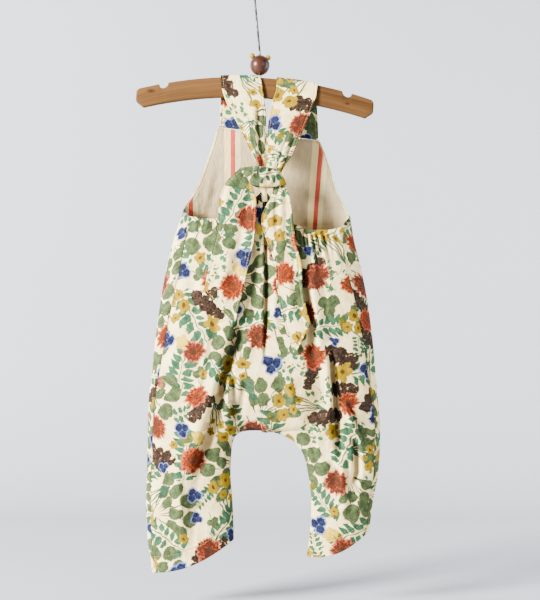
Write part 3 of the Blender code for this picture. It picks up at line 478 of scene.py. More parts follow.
def body_rows(positions, face, side):
    """Points of half a body panel, from its side seam to the middle line or inner leg."""
    row = steady_body(positions)
    outer_x, outer_z, inner_x, inner_z = on_side(row, side, "x", "z", "in_x", "in_z")
    width = np.abs(inner_x - outer_x)
    edge = {"back": row.seam + SEAM_GAP, "front": -row.seam,
            "lining": 0 * row.seam + EDGE_FACING + LINING_INSET}[face]
    curved = CURVE_COLUMNS if face == "back" else CURVE_COLUMNS + WRAP_COLUMNS
    offsets = half_offsets(edge, row.round, width, row.fork, curved, FLAT_COLUMNS)
    share = np.abs(offsets) / width
    bow = HEM_BOW * smooth_step((positions - HEM_BOW_FROM) / (len(BODY) - 1 - HEM_BOW_FROM))
    x = outer_x - side * np.abs(offsets)
    z = between(outer_z, inner_z, share) - bow[:, None] * np.sin(math.pi * share)
    if face == "back":
        y = np.minimum(back_y(x, z, np.abs(offsets), row), -HALF_INSEAM)
        top = table_at(BODY, np.zeros(1))
        top_z = between(on_side(top, side, "z")[0], top.left_in_z, share)
        fade = 1 - np.minimum((top_z - z) / WAIST_FADE, 1)
        z = z + (waist_edge(x) - top_z) * fade ** 2
    else:
        curve = edge_curve(row.round, np.abs(offsets), line_distance(x, z, INSEAM)[0])
        small = drapes(x, z, FRONT_DRAPES) + crinkles(x, z, FRONT_CRINKLES)
        y = row.front * curve + (fold_height(FRONT_FOLDS, x, z) + small) * curve ** 2
        inner = (row.fork > 0) & (share > 0.5)
        y = np.where(inner, np.maximum(y, HALF_INSEAM), y)
        y = np.where(offsets < 0, back_y(x, z, np.abs(offsets), row), y)
        if face == "lining":
            y = y - LINING_STAND
    return np.stack([x, y, z], axis=-1)


def bib_rows(positions, side, inset=0.0):
    """Points of half the bib, from its edge to the middle line, moved in by inset."""
    row = table_at(BIB, positions)
    outer_x, outer_z, cut = on_side(row, side, "x", "z", "cut")
    width = np.abs(row.mid_x - outer_x)
    if inset:
        cut = np.maximum(cut + EDGE_FACING, EDGE_FACING + LINING_INSET)
    offsets = half_offsets(cut, row.round, width, 0.0, CURVE_COLUMNS + WRAP_COLUMNS,
                           FLAT_COLUMNS)
    share = (offsets - cut) / (width - cut)
    x = outer_x - side * np.abs(offsets)
    z = between(outer_z, row.mid_z, share)
    depth = np.where(offsets > 0, row.front, -row.back)
    curve = edge_curve(row.round, np.abs(offsets))
    small = fold_height(FRONT_FOLDS, x, z) + crinkles(x, z, BIB_CRINKLES)
    y = depth * curve + np.where(offsets > 0, small, 0) * curve ** 2 - inset
    return np.stack([x, y, z], axis=-1)


# ---------------------------------------------------------------- meshes
CURVE_COLUMNS = 58
WRAP_COLUMNS = 10
FLAT_COLUMNS = 26
MIDDLE_CROWDING = 1.3      # above 1, columns are closer together near the middle
ROW_PITCH = 2.5
TIE_COLUMNS = 30
TIE_PITCH = 2.0
EDGE_FACING = 2.2          # how much of the front's edge turns to the inside round the bib
LINING_INSET = 1.2         # from there to the lining's edge, at least
TIE_STITCH = 2.6           # stitch line in from a tie's edge
HEM_STITCH = 19.0          # and up from a leg's hem
BIB_STITCH = 4.0
FAR = 100.0                # no stitches near


def arc(points, axis):
    """Length along rows (axis 1) or columns (axis 0) of a grid of points."""
    steps = np.linalg.norm(np.diff(points, axis=axis), axis=-1)
    return np.concatenate([np.zeros_like(np.take(steps, [0], axis)),
                           np.cumsum(steps, axis=axis)], axis=axis)


def grid_faces(index):
    """Faces between the rows and columns of a grid of vertex numbers."""
    return np.stack([index[:-1, :-1], index[:-1, 1:], index[1:, 1:], index[1:, :-1]],
                    axis=-1).reshape(-1, 4)


def new_mesh(name, verts, faces, *looks):
    """A smooth mesh from millimetres, with its materials."""
    mesh = bpy.data.meshes.new(name)
    mesh.from_pydata((np.asarray(verts) * MM).tolist(), [], faces)
    mesh.polygons.foreach_set("use_smooth", np.ones(len(faces), bool))
    for look in looks:
        mesh.materials.append(look)
    return mesh


def in_scene(name, data):
    """A new object in the scene."""
    made = bpy.data.objects.new(name, data)
    bpy.context.scene.collection.objects.link(made)
    return made


def flat_area(verts, faces):
    """Area of a mesh in square metres."""
    a, b, c, d = (verts[faces[:, k]] for k in range(4))
    return (np.linalg.norm(np.cross(b - a, c - a), axis=1).sum()
            + np.linalg.norm(np.cross(c - a, d - a), axis=1).sum()) / 2 * MM ** 2


def cloth(name, verts, faces, uv, stitch, looks, outward=(0, -1, 0), wall=WALL, prints=None):
    """A thin-walled piece with cloth coordinates, stitch lines, painted crease shade and motifs;
    and its area.
    """
    area = flat_area(verts, faces)
    edges = verts[faces[:, 2]] - verts[faces[:, 0]], verts[faces[:, 3]] - verts[faces[:, 1]]
    normals = np.cross(*edges)
    towards = outward(verts[faces].mean(axis=1)) if callable(outward) else np.array(outward)
    if (normals * towards).sum() < 0:
        faces = faces[:, ::-1]
    mesh = new_mesh(name, verts, faces.tolist(), *looks)
    corners = faces.ravel()
    layer = mesh.uv_layers.new(name="cloth")
    layer.data.foreach_set("uv", (uv[corners] * MM).ravel().astype(np.float32))
    # The stitch attribute holds the distance to a stitch line, the run along it, and the share of
    # painted crease shade.
    drawn = [("stitch", stitch[corners])]
    if prints:
        drawn += [("motif_%d" % (i + 1), values) for i, values in enumerate(prints(uv, faces))]
    for attribute, values in drawn:
        made = mesh.attributes.new(attribute, "FLOAT_VECTOR", "CORNER")
        made.data.foreach_set("vector", values.ravel().astype(np.float32))
    piece = in_scene(name, mesh)
    shell = piece.modifiers.new("wall", "SOLIDIFY")
    shell.thickness = wall * MM
    shell.offset = -1.0
    shell.material_offset = 1 if len(looks) > 1 else 0
    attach(piece, "root")
    return piece, area


def two_halves(left, right, joined):
    """Vertices and faces of a panel whose halves share the middle line on its first rows."""
    rows, columns = left.shape[:2]
    left_index = np.arange(rows * columns).reshape(rows, columns)
    right_index = left_index + rows * columns
    right_index[:joined, -1] = left_index[:joined, -1]
    faces = np.concatenate([grid_faces(left_index), grid_faces(right_index)[:, ::-1]])
    verts = np.concatenate([left.reshape(-1, 3), right.reshape(-1, 3)])
    return verts, faces


LEVEL_REACH = 4            # columns either way over which folds are levelled out
FOLDS_KEPT = 0.35          # share of the cloth in a fold that the print counts


def width_across(half):
    """Width of the cloth out from its inner edge, measured level, the folds only in part."""
    level = half[:, ::-1, :2].copy()
    whole = arc(level, 1)
    padded = np.pad(level[:, :, 1], ((0, 0), (LEVEL_REACH,) * 2), mode="reflect",
                    reflect_type="odd")
    shifts = range(2 * LEVEL_REACH + 1)
    level[:, :, 1] = sum(padded[:, k:k + level.shape[1]] for k in shifts) / len(shifts)
    return (FOLDS_KEPT * whole + (1 - FOLDS_KEPT) * arc(level, 1))[:, ::-1]


def panel_uv(left, right):
    """Cloth coordinates of a panel: across from its middle or inner edges, and down."""
    return np.concatenate([
        np.stack([half[:, -1:, 0] + sign * width_across(half), half[:, :, 2]],
                 axis=-1).reshape(-1, 2) for half, sign in ((left, -1), (right, 1))])


def drop_unused(verts, faces, *others):
    """Leave out vertices that no face uses."""
    used = np.zeros(len(verts), bool)
    used[faces.ravel()] = True
    renumber = np.cumsum(used) - 1
    return (verts[used], renumber[faces]) + tuple(other[used] for other in others)


HOLLOW_ROWS, HOLLOW_COLUMNS = 3, 5     # how far round a point its depth in a crease is judged, for the painted shade
HOLLOW_DEPTH = 1.2         # mm below its surroundings where the painted crease shade is at its darkest


def hollows(depth):
    """How deep each point of a grid lies in a crease, 0 to 1, which sets its painted shade; depth
    grows into the cloth.
    """
    rows, columns = depth.shape
    padded = np.pad(depth, ((HOLLOW_ROWS,) * 2, (HOLLOW_COLUMNS,) * 2), mode="edge")
    shifts = [(i, j) for i in range(2 * HOLLOW_ROWS + 1) for j in range(2 * HOLLOW_COLUMNS + 1)]
    around = sum(padded[i:i + rows, j:j + columns] for i, j in shifts) / len(shifts)
    return smooth_step((depth - around) / HOLLOW_DEPTH)


def panel_hollows(left, right, outward):
    """The same for the two halves of a panel, which meet at their last columns."""
    depth = np.concatenate([left[:, :, 1], right[:, -2::-1, 1]], axis=1) * -outward
    painted_shade = hollows(depth)
    columns = left.shape[1]
    return painted_shade[:, :columns], painted_shade[:, columns - 1:][:, ::-1]


def nearest_stitch(painted_shade, *lines):
    """Of several stitch lines, the one nearest to each vertex: (distance, run, painted crease
    shade).
    """
    distance, run = lines[0]
    for other, other_run in lines[1:]:
        nearer = np.abs(other) < np.abs(distance)
        distance, run = np.where(nearer, other, distance), np.where(nearer, other_run, run)
    return np.column_stack([distance.ravel(), run.ravel(), painted_shade.ravel()])


def panel(name, halves, joined, uv, lines, looks, outward, wall=WALL, prints=None):
    """A piece from its two halves, joined on its first rows, with stitch lines and painted crease
    shade on each.
    """
    verts, faces = two_halves(*halves, joined)
    stitch = np.concatenate([nearest_stitch(crease_darkening, *near)
                             for crease_darkening, near in zip(panel_hollows(*halves, outward), lines)])
    verts, faces, uv, stitch = drop_unused(verts, faces, uv, stitch)
    return cloth(name, verts, faces, uv, stitch, looks, (0, outward, 0), wall, prints)


# ---------------------------------------------------------------- the print
# Motifs of the print: layer and kind in the shader, the size of one unit, the oval in units that
# it takes up, how many to a tenth of a square metre, and how far its size varies.
Motif = namedtuple("Motif", "name layer kind unit half_width low high count vary")
MOTIFS = [Motif(*row) for row in (
    ("sage_fan",      0, 0, 30.0, 1.28, -1.05, 0.85, 14, 0.14),
    ("carnation",     1, 0, 16.0, 1.05, -1.20, 1.10, 18, 0.12),
    ("yellow_spray",  1, 3, 30.0, 0.80, -1.00, 1.00, 18, 0.15),
    ("brown_spike",   0, 4, 25.0, 0.52, -1.02, 1.02, 11, 0.18),
    ("pansy",         1, 1, 12.5, 1.02, -1.02, 1.02, 13, 0.15),
    ("teal_sprig",    2, 0, 28.0, 0.66, -1.05, 1.10, 16, 0.18),
    ("mint_spray",    2, 1, 25.0, 1.00, -1.05, 1.05, 26, 0.20),
    ("trefoil",       0, 1, 18.0, 1.02, -1.40, 1.02, 16, 0.20),
    ("pale_bloom",    0, 3, 13.0, 1.00, -1.00, 1.00, 18, 0.20),
    ("blossom",       1, 2, 12.0, 1.02, -1.25, 1.02, 26, 0.20),
    ("small_pansy",   1, 1,  8.5, 1.02, -1.02, 1.02, 14, 0.20),
    ("small_teal",    2, 0, 18.0, 0.66, -1.05, 1.10, 36, 0.20),
    ("small_mint",    2, 1, 15.0, 1.00, -1.05, 1.05, 80, 0.20),
    ("small_blossom", 1, 2,  7.5, 1.02, -1.25, 1.02, 34, 0.20),
    ("small_trefoil", 0, 1, 10.5, 1.02, -1.40, 1.02, 60, 0.20),
    ("small_spike",   0, 4, 14.0, 0.52, -1.02, 1.02, 12, 0.20),
)]
LAYERS = 3
CELL = 1.5                 # the pitch at which the print is laid out
PRINT_EDGE = 4             # how far the print is laid out past a piece
MARGIN = 1.6               # how far the faces given to a motif reach past it
OVERLAP = 0.52             # share of a motif that may lie over others
CORE = 0.85                # the share of a motif's oval in which that is judged
FARTHEST = 1.7             # no oval reaches farther than this many units
TRIES = 45                 # places tried for each motif wanted


def scatter(low, high, seed):
    """Place motifs over an area of cloth; returns their list and a map of each layer."""
    rng = np.random.default_rng(seed)
    shape = tuple(np.ceil((high - low) / CELL).astype(int) + 1)
    maps = [np.full(shape, -1) for _ in range(LAYERS)]
    taken = np.zeros(shape, bool)
    placed = []
    tenths = (high - low).prod() * MM ** 2 / 0.1
    for motif in MOTIFS:
        wanted = max(1, round(motif.count * tenths))
        middle, half = (motif.low + motif.high) / 2, (motif.high - motif.low) / 2
        for _ in range(wanted * TRIES):
            centre = low + rng.uniform(0, 1, 2) * (high - low)
            turn = rng.uniform(0, 2 * math.pi)
            unit = motif.unit * (1 + rng.uniform(-1, 1) * motif.vary)
            mark = motif.kind + rng.uniform(0, 0.9)
            reach = unit * FARTHEST + MARGIN
            start = np.maximum(((centre - reach - low) / CELL).astype(int), 0)
            stop = np.minimum(((centre + reach - low) / CELL).astype(int) + 2, shape)
            i, j = np.meshgrid(np.arange(start[0], stop[0]), np.arange(start[1], stop[1]),
                               indexing="ij")
            u, v = low[0] + i * CELL - centre[0], low[1] + j * CELL - centre[1]
            x, y = turned(u, v, turn)
            x, y = x / unit, y / unit - middle
            pad = MARGIN / unit
            owned = np.hypot(x / (motif.half_width + pad), y / (half + pad)) < 1
            core = np.hypot(x / motif.half_width, y / half) < CORE
            window = (slice(start[0], stop[0]), slice(start[1], stop[1]))
            if (maps[motif.layer][window][owned] >= 0).any() or not core.any():
                continue
            if taken[window][core].mean() > OVERLAP:
                continue
            maps[motif.layer][window][owned] = len(placed)
            taken[window] |= core
            placed.append((centre[0], centre[1], turn, unit, mark))
            wanted -= 1
            if not wanted:
                break
    return np.array(placed), maps


def printed(seed):
    """A function that gives a piece of cloth its motifs."""
    def give(uv, faces):
        low, high = uv.min(axis=0) - PRINT_EDGE, uv.max(axis=0) + PRINT_EDGE
        placed, maps = scatter(low, high, seed)
        middle = uv[faces].mean(axis=1)
        i, j = ((middle - low) / CELL).round().astype(int).T
        layers = []
        for layer in maps:
            number = np.repeat(layer[i, j], 4)
            motif = placed[number]
            off = uv[faces.ravel()] - motif[:, :2]
            x, y = turned(off[:, 0], off[:, 1], motif[:, 2])
            values = np.stack([x / motif[:, 3], y / motif[:, 3], motif[:, 4]], axis=1)
            values[number < 0] = (0, 0, -1)
            layers.append(values)
        return layers
    return give


# ---------------------------------------------------------------- shaders
DAYLIGHT = 4.3             # how bright white cloth is in the lamps below
LUMA = (0.21, 0.72, 0.07)
CREASE_SHADE = (0.46, 0.43, 0.41, 1.0)     # what is left of the light deep in a crease
# What the film curve does to colours, the other way round.
FILM_DULLING, FILM_LIFT, FILM_BEND, FILM_RICHNESS = 0.443, 2.69, 2.61, 2.11


def rgb(red, green, blue, light=DAYLIGHT):
    """The colour that a surface in that light needs, to look so through the film curve."""
    linear = [((c / 255 + 0.055) / 1.055) ** 2.4 if c > 10 else c / 255 / 12.92
              for c in (red, green, blue)]
    grey = sum(share * value for share, value in zip(LUMA, linear))
    dull = [max(grey + (value - grey) * FILM_DULLING, 0.0001) for value in linear]
    lifted = [value * math.exp(FILM_LIFT * value ** FILM_BEND) for value in dull]
    grey = sum(share * value for share, value in zip(LUMA, lifted))
    return tuple(min(max(grey + (value - grey) * FILM_RICHNESS, 0.002) / light, 0.93)
                 for value in lifted) + (1.0,)


class Value:
    """A number inside a shader, so that formulas can be written as formulas."""

    def __init__(self, net, socket):
        self.net = net
        self.socket = socket

    def __add__(self, other):
        return self.net.math("ADD", self, other)

    __radd__ = __add__

    def __sub__(self, other):
        return self.net.math("SUBTRACT", self, other)

    def __rsub__(self, other):
        return self.net.math("SUBTRACT", other, self)

    def __mul__(self, other):
        return self.net.math("MULTIPLY", self, other)

    __rmul__ = __mul__

    def __truediv__(self, other):
        return self.net.math("DIVIDE", self, other)

    def __abs__(self):
        return self.net.math("ABSOLUTE", self)


class Net:
    """A material's node tree."""

    def __init__(self, name):
        self.material = bpy.data.materials.new(name)
        self.material.use_nodes = True
        self.tree = self.material.node_tree
        self.shader = self.tree.nodes["Principled BSDF"]

    def node(self, kind, **settings):
        """A new node of a kind, with its settings."""
        made = self.tree.nodes.new(kind)
        for key, value in settings.items():
            setattr(made, key, value)
        return made

    def put(self, socket, value):
        """Link a socket, or set it where the value is a plain one."""
        if isinstance(value, Value):
            self.tree.links.new(value.socket, socket)
        elif isinstance(value, bpy.types.NodeSocket):
            self.tree.links.new(value, socket)
        else:
            socket.default_value = value

    def math(self, kind, *inputs):
        """The result of a Math node."""
        made = self.node("ShaderNodeMath", operation=kind)
        for socket, value in zip(made.inputs, inputs):
            self.put(socket, value)
        return Value(self, made.outputs[0])

    def ramp(self, value, start, end):
        """0 at start to 1 at end, soft; start may be the greater."""
        made = self.node("ShaderNodeMapRange", interpolation_type="SMOOTHSTEP")
        for name, number in (("Value", value), ("From Min", start), ("From Max", end)):
            self.put(made.inputs[name], number)
        return Value(self, made.outputs[0])

    def mix(self, share, first, second, blend="MIX"):
        """The first colour where share is 0, and the second, or the blend, where it is 1."""
        made = self.node("ShaderNodeMix", data_type="RGBA", blend_type=blend)
        for number, value in ((0, share), (6, first), (7, second)):
            self.put(made.inputs[number], value)
        return made.outputs[2]

    def vector(self, x, y, z=0.0):
        """Three numbers as a vector."""
        made = self.node("ShaderNodeCombineXYZ")
        for socket, value in zip(made.inputs, (x, y, z)):
            self.put(socket, value)
        return made.outputs[0]

    def noise(self, vector, scale, detail=3.0, rough=0.55):
        """Noise about 0, mostly within half either way."""
        made = self.node("ShaderNodeTexNoise")
        self.put(made.inputs["Vector"], vector)
        made.inputs["Scale"].default_value = scale
        made.inputs["Detail"].default_value = detail
        made.inputs["Roughness"].default_value = rough
        return Value(self, made.outputs[0]) - 0.5

    def cells(self, vector, scale):
        """Distance to the nearest of many scattered points."""
        made = self.node("ShaderNodeTexVoronoi")
        self.put(made.inputs["Vector"], vector)
        made.inputs["Scale"].default_value = scale
        return Value(self, made.outputs["Distance"])

    def split(self, vector):
        """The three numbers of a vector."""
        made = self.node("ShaderNodeSeparateXYZ")
        self.tree.links.new(vector, made.inputs[0])
        return [Value(self, socket) for socket in made.outputs]

    def attribute(self, name):
        """The three numbers of a mesh attribute."""
        return self.split(self.node("ShaderNodeAttribute", attribute_name=name).outputs["Vector"])

    def uv(self):
        """Cloth coordinates in metres."""
        return self.split(self.node("ShaderNodeUVMap", uv_map="cloth").outputs[0])[:2]

    def place(self):
        """Object coordinates in metres."""
        return self.node("ShaderNodeTexCoord").outputs["Object"]

    def sine(self, value):
        return self.math("SINE", value)

    def length(self, x, y):
        return self.math("SQRT", x * x + y * y)

    def surface(self, settings):
        """Set the shader's sockets by their names."""
        for name, value in settings.items():
            self.put(self.shader.inputs[name], value)

    def bump(self, height, distance, strength=1.0, under=None):
        """The normal bent by a height, over the bump under it if there is one."""
        made = self.node("ShaderNodeBump")
        self.put(made.inputs["Height"], height)
        made.inputs["Distance"].default_value = distance
        made.inputs["Strength"].default_value = strength
        if under is not None:
            self.put(made.inputs["Normal"], under)
        return made.outputs[0]


WOBBLE = 0.42              # how unevenly the motifs are drawn, in their units


class Drawing:
    """One layer of motifs: local coordinates, and the colour as it builds up."""

    def __init__(self, net, name, colour, rough, wash):
        self.net = net
        x, y, mark = net.attribute(name)
        self.kind = net.math("FLOOR", mark)
        self.seed = net.math("FRACT", mark)
        self.colour = colour
        bend = net.node("ShaderNodeTexNoise")
        net.put(bend.inputs["Vector"], net.vector(x, y, self.seed * 40))
        bend.inputs["Scale"].default_value = 1.5
        bend_x, bend_y, broad = (value - 0.5 for value in net.split(bend.outputs["Color"]))
        self.x, self.y = x + bend_x * WOBBLE, y + bend_y * WOBBLE
        self.broad, self.rough, self.wash = broad, rough, wash
        self.r = net.length(self.x, self.y)
        self.angle = net.math("ARCTAN2", self.x, self.y)
        self.ray = net.noise(net.vector(self.x / self.r * 3.2, self.y / self.r * 3.2,
                                        self.seed * 60), 1.0, 3.0, 0.7)

    def wave(self, count, shift=0.0):
        """|sin| round the middle: count lobes."""
        return abs(self.net.sine(self.angle * (count / 2) + shift))

    def lay(self, kind, mask, colour):
        """Put colour where the mask is, on motifs of that kind."""
        chosen = self.net.math("COMPARE", self.kind, float(kind), 0.4)
        self.colour = self.net.mix(mask * chosen, self.colour, colour)

    def inside(self, value, limit, soft):
        """1 where value is below limit."""
        return self.net.ramp(value, limit, limit - soft)

    def paint(self, dark, light):
        """Uneven colour, as thin paint dries."""
        return self.net.mix(self.net.ramp(self.wash + self.rough * 0.5, -0.28, 0.3), dark, light)


# Yellows that the film curve still shows as yellow.
YELLOW_DEEP = (0.21, 0.13, 0.0005, 1.0)
YELLOW = (0.31, 0.2, 0.001, 1.0)
YELLOW_PALE = (0.46, 0.295, 0.003, 1.0)
YELLOW_PALEST = (0.60, 0.41, 0.02, 1.0)


def draw_sprigs(net, colour, rough, wash):
    """The lowest layer: sprigs with paired leaves, and loose sprays of small mint leaves."""
    d = Drawing(net, "motif_3", colour, rough, wash)
    x, y = d.x, d.y
    ax = abs(x)
    right = net.math("GREATER_THAN", x, 0.0)
    within = d.inside(abs(y), 1.02, 0.04)
    teal = d.paint(rgb(66, 124, 90), rgb(126, 178, 138))
    cell = net.math("FRACT", y * 3.2 + right * 0.5) - 0.5
    lean = 0.7
    across, along = ax - 0.29 + d.broad * 0.25, cell / 3.2 - 0.06
    a = (across * math.cos(lean) + along * math.sin(lean)) / 0.29
    b = (along * math.cos(lean) - across * math.sin(lean)) / 0.155
    leaf = net.length(a, b) + rough * 0.7 + d.broad * 1.3
    d.lay(0, d.inside(ax, 0.03, 0.015) * within, teal)
    d.lay(0, d.inside(leaf, 1.0, 0.15) * within, teal)
    bud = net.length(x * 2.0, (y - 0.66) * math.sqrt(6.0)) + rough * 0.8
    d.lay(0, d.inside(bud, 0.56, 0.1) * net.ramp(d.seed, 0.4, 0.5),
          d.paint(rgb(126, 126, 44), rgb(180, 174, 84)))

    mint = d.paint(rgb(82, 142, 102), rgb(148, 194, 154))
    stem = abs(net.sine(d.angle * 3.0 + d.seed * 20 + d.r * 1.4))
    d.lay(1, d.inside(stem * d.r, 0.05, 0.03) * d.inside(d.r, 0.86, 0.05) * 0.85, teal)
    blobs = net.cells(net.vector(x, y, d.seed * 31), 3.3) + rough * 0.3 + d.broad * 0.4
    d.lay(1, d.inside(blobs, 0.44, 0.06) * d.inside(d.r, 0.98, 0.05) * net.ramp(d.r, 0.12, 0.2),
          mint)
    dots = net.cells(net.vector(x, y, d.seed * 17 + 5.0), 2.4) + rough * 0.3
    d.lay(1, d.inside(dots, 0.20, 0.05) * d.inside(d.r, 0.85, 0.05),
          d.paint(rgb(122, 126, 48), rgb(176, 174, 88)))
    return d.colour


def draw_leaves(net, colour, rough, wash):
    """The under layer: fans of round leaves, sprigs, seed spikes, pale blooms and stems."""
    d = Drawing(net, "motif_1", colour, rough, wash)
    x, y = d.x, d.y
    ax = abs(x)
    right = net.math("GREATER_THAN", x, 0.0)
    sage = d.paint(rgb(90, 110, 68), rgb(154, 172, 122))
    green = d.paint(rgb(76, 104, 74), rgb(124, 148, 108))

    lift = y + 1.0
    reach = net.length(x, lift)
    turn = net.math("ARCTAN2", x, lift)
    for pitch, shift, centre, vary, size in ((0.44, 0.5, 1.44, 0.18, 0.335),
                                             (0.56, 0.0, 0.86, 0.14, 0.27)):
        cell = turn / pitch + shift
        number = net.math("FLOOR", cell)
        across = (net.math("FRACT", cell) - 0.5) * reach * pitch
        middle = net.sine(number * 2.1 + d.seed * 30) * vary + centre
        off, flat = (reach - middle) / size, across / (size * 0.92)
        leaf = net.length(off, flat) + rough * 0.3
        spread = d.inside(abs(turn), 0.98, 0.02)
        stem = (d.inside(abs(across), 0.026, 0.014) * d.inside(reach, middle, 0.03)
                * net.ramp(reach, 0.2, 0.5))
        d.lay(0, stem * spread, green)
        d.lay(0, d.inside(leaf, 1.0, 0.12) * spread, sage)
        d.lay(0, d.inside(abs(leaf - 0.92), 0.12, 0.1) * spread * 0.4, rgb(74, 92, 56))

    lobes = 0.45 + 0.46 * d.wave(3.0, 1.57) + d.ray * 0.3 + rough * 0.1
    d.lay(1, d.inside(abs(x - 0.08 * y), 0.045, 0.02) * d.inside(y, 0.0, 0.02), green)
    d.lay(1, d.inside(d.r, lobes, 0.05), sage)
    vein = d.inside(d.wave(3.0, 0.0), 0.07, 0.06) * d.inside(d.r, lobes - 0.15, 0.1)
    d.lay(1, vein * 0.5, rgb(184, 194, 160))
    d.lay(1, d.inside(abs(d.r - lobes + 0.05), 0.06, 0.05) * 0.45, rgb(86, 106, 72))

    petals = 0.68 + 0.22 * d.wave(5.0, 0.8) + d.ray * 0.4 + rough * 0.12
    d.lay(3, d.inside(d.r, petals, 0.06) * 0.9, d.paint(YELLOW_PALE, YELLOW_PALEST))

    lumps = abs(net.sine(y * 8.0 + right * 1.6 + d.seed * 20)) * 0.15
    width = 0.27 * (1.0 - net.math("POWER", abs(y), 4.0)) + lumps + d.broad * 0.4 + rough * 0.2
    body = d.inside(ax, width, 0.05) * d.inside(abs(y), 0.97, 0.05)
    d.lay(4, body, net.mix(net.ramp(rough + wash * 0.6, -0.16, 0.24), rgb(62, 42, 30),
                           rgb(132, 100, 76)))
    specks = net.cells(net.vector(x, y, d.seed * 9), 7.0)
    d.lay(4, body * d.inside(ax, width - 0.05, 0.05) * net.ramp(specks, 0.80, 0.88),
          rgb(214, 196, 166))
    return d.colour


SPRAY = ((-0.50, 0.50, 0.27), (0.02, 0.70, 0.28), (0.47, 0.36, 0.24), (-0.18, 0.16, 0.20),
         (0.20, -0.05, 0.15))              # places and sizes of the blossoms on a spray


def draw_flowers(net, colour, rough, wash):
    """The upper layer: carnations, pansies, yellow blossoms and sprays of them."""
    d = Drawing(net, "motif_2", colour, rough, wash)
    x, y = d.x, d.y
    stalk = d.inside(abs(x - 0.1 * y), 0.05, 0.02) * d.inside(y, -0.5, 0.05)
    d.lay(0, stalk, d.paint(rgb(66, 120, 88), rgb(112, 158, 124)))
    fringe = 0.74 + d.ray * 1.0 + rough * 0.18 + 0.12 * d.wave(12.0, d.seed * 9)
    rust = net.mix(net.ramp(d.seed, 0.35, 0.6), d.paint(rgb(190, 80, 38), rgb(224, 122, 70)),
                   d.paint(rgb(146, 70, 42), rgb(196, 108, 72)))
    petal = abs(net.sine(d.r * 9.0 + d.ray * 16.0 + d.wave(7.0, 0.6) * 2.0))
    rust = net.mix(net.ramp(petal + rough * 0.5, 0.74, 0.3) * net.ramp(d.r, 1.4, 0.5) * 0.9, rust,
                   rgb(112, 48, 30))
    rust = net.mix(net.ramp(petal + wash, 0.9, 1.1) * 0.6, rust, rgb(234, 152, 112))
    rust = net.mix(net.ramp(d.r + d.broad, 0.5, 0.0) * 0.75, rust, rgb(110, 74, 46))
    d.lay(0, d.inside(d.r, fringe + 0.10, 0.06) * 0.75, rgb(236, 160, 140))
    d.lay(0, d.inside(d.r, fringe - 0.02, 0.05), rust)

    face = 0.52 + 0.36 * d.wave(3.0, d.seed * 3) + d.ray * 0.35 + rough * 0.12
    d.lay(1, d.inside(d.r, face + 0.10, 0.06) * 0.85, rgb(172, 182, 222))
    blue = net.mix(net.ramp(wash + rough, -0.2, 0.22), rgb(36, 40, 74), rgb(74, 90, 150))
    d.lay(1, d.inside(d.r, face - 0.06, 0.05), blue)
    d.lay(1, d.inside(abs(d.wave(3.0, d.seed * 3)), 0.16, 0.1) * d.inside(d.r, face, 0.1) * 0.55,
          rgb(142, 156, 204))
    d.lay(1, d.inside(d.r + rough * 0.2, 0.10, 0.06), rgb(150, 160, 190))

    yellow = d.paint(YELLOW_DEEP, YELLOW)
    ochre = rgb(150, 104, 10)
    d.lay(2, stalk * 0.9, d.paint(rgb(84, 124, 70), rgb(132, 160, 108)))
    bloom = 0.62 + 0.30 * d.wave(5.0, d.seed * 5) + d.ray * 0.45 + rough * 0.12
    d.lay(2, d.inside(d.r, bloom, 0.05), yellow)
    d.lay(2, d.inside(d.r + rough * 0.3, 0.26, 0.08), ochre)
    d.lay(2, d.inside(d.wave(5.0, d.seed * 5), 0.2, 0.15) * d.inside(d.r, bloom - 0.08, 0.1) * 0.5,
          rgb(168, 120, 14))

    lift = y + 1.0
    stems = d.paint(rgb(60, 124, 92), rgb(112, 166, 132))
    for bloom_x, bloom_y, size in SPRAY:
        drift = abs(x - bloom_x / (bloom_y + 1.0) * lift)
        d.lay(3, d.inside(drift, 0.032, 0.015) * d.inside(abs(y - (bloom_y - 1.0) / 2),
                                                          (bloom_y + 1.0) / 2, 0.03), stems)
    for bloom_x, bloom_y, size in SPRAY:
        off_x, off_y = (x - bloom_x) / size, (y - bloom_y) / size
        away = net.length(off_x, off_y) + rough * 0.3 + d.broad * 0.6
        lobes = 0.78 + 0.26 * abs(net.sine(net.math("ARCTAN2", off_x, off_y) * 2.5))
        d.lay(3, d.inside(away, lobes, 0.1), yellow)
        d.lay(3, d.inside(away, 0.28, 0.1), ochre)
    return d.colour


THREADS = 9000             # 2 pi over the distance between threads, in metres
STITCH = 2.9               # mm from one stitch to the next


def stitched_and_shaded(net, u, v, colour, thread, wrinkles):
    """Stitches, painted shade in creases, weave and small crinkles over a colour; finishes the
    material.
    """
    away, run, painted_shade = net.attribute("stitch")
    dash = net.math("FRACT", run / STITCH)
    dash = net.ramp(abs(dash - 0.5), 0.38, 0.28)
    on_line = net.ramp(abs(away), 0.42, 0.26)
    colour = net.mix(on_line * dash * 0.4, colour, thread)
    # Painted shade: the colour is darkened where the cloth lies deep in a crease.
    colour = net.mix(painted_shade, colour, CREASE_SHADE, "MULTIPLY")
    groove = net.ramp(abs(away), 1.5, 0.2) * -1.0 + on_line * dash * 0.8
    weave = (net.sine(u * THREADS) + net.sine(v * THREADS)) * 0.5
    soft = net.noise(net.vector(u, v * 0.6), 150.0, 3.0, 0.6)
    tight = net.noise(net.vector(u, v * 0.35), 420.0, 2.0, 0.6)
    small = net.bump(weave, 0.00004, 0.6)
    wrinkled = net.bump(soft * wrinkles + tight * wrinkles * 0.45, 0.0011, 1.0, small)
    net.surface({"Base Color": colour, "Roughness": 0.86, "Specular IOR Level": 0.08,
                 "Sheen Weight": 0.05, "Sheen Roughness": 0.5,
                 "Normal": net.bump(groove, 0.0005, 0.9, wrinkled)})


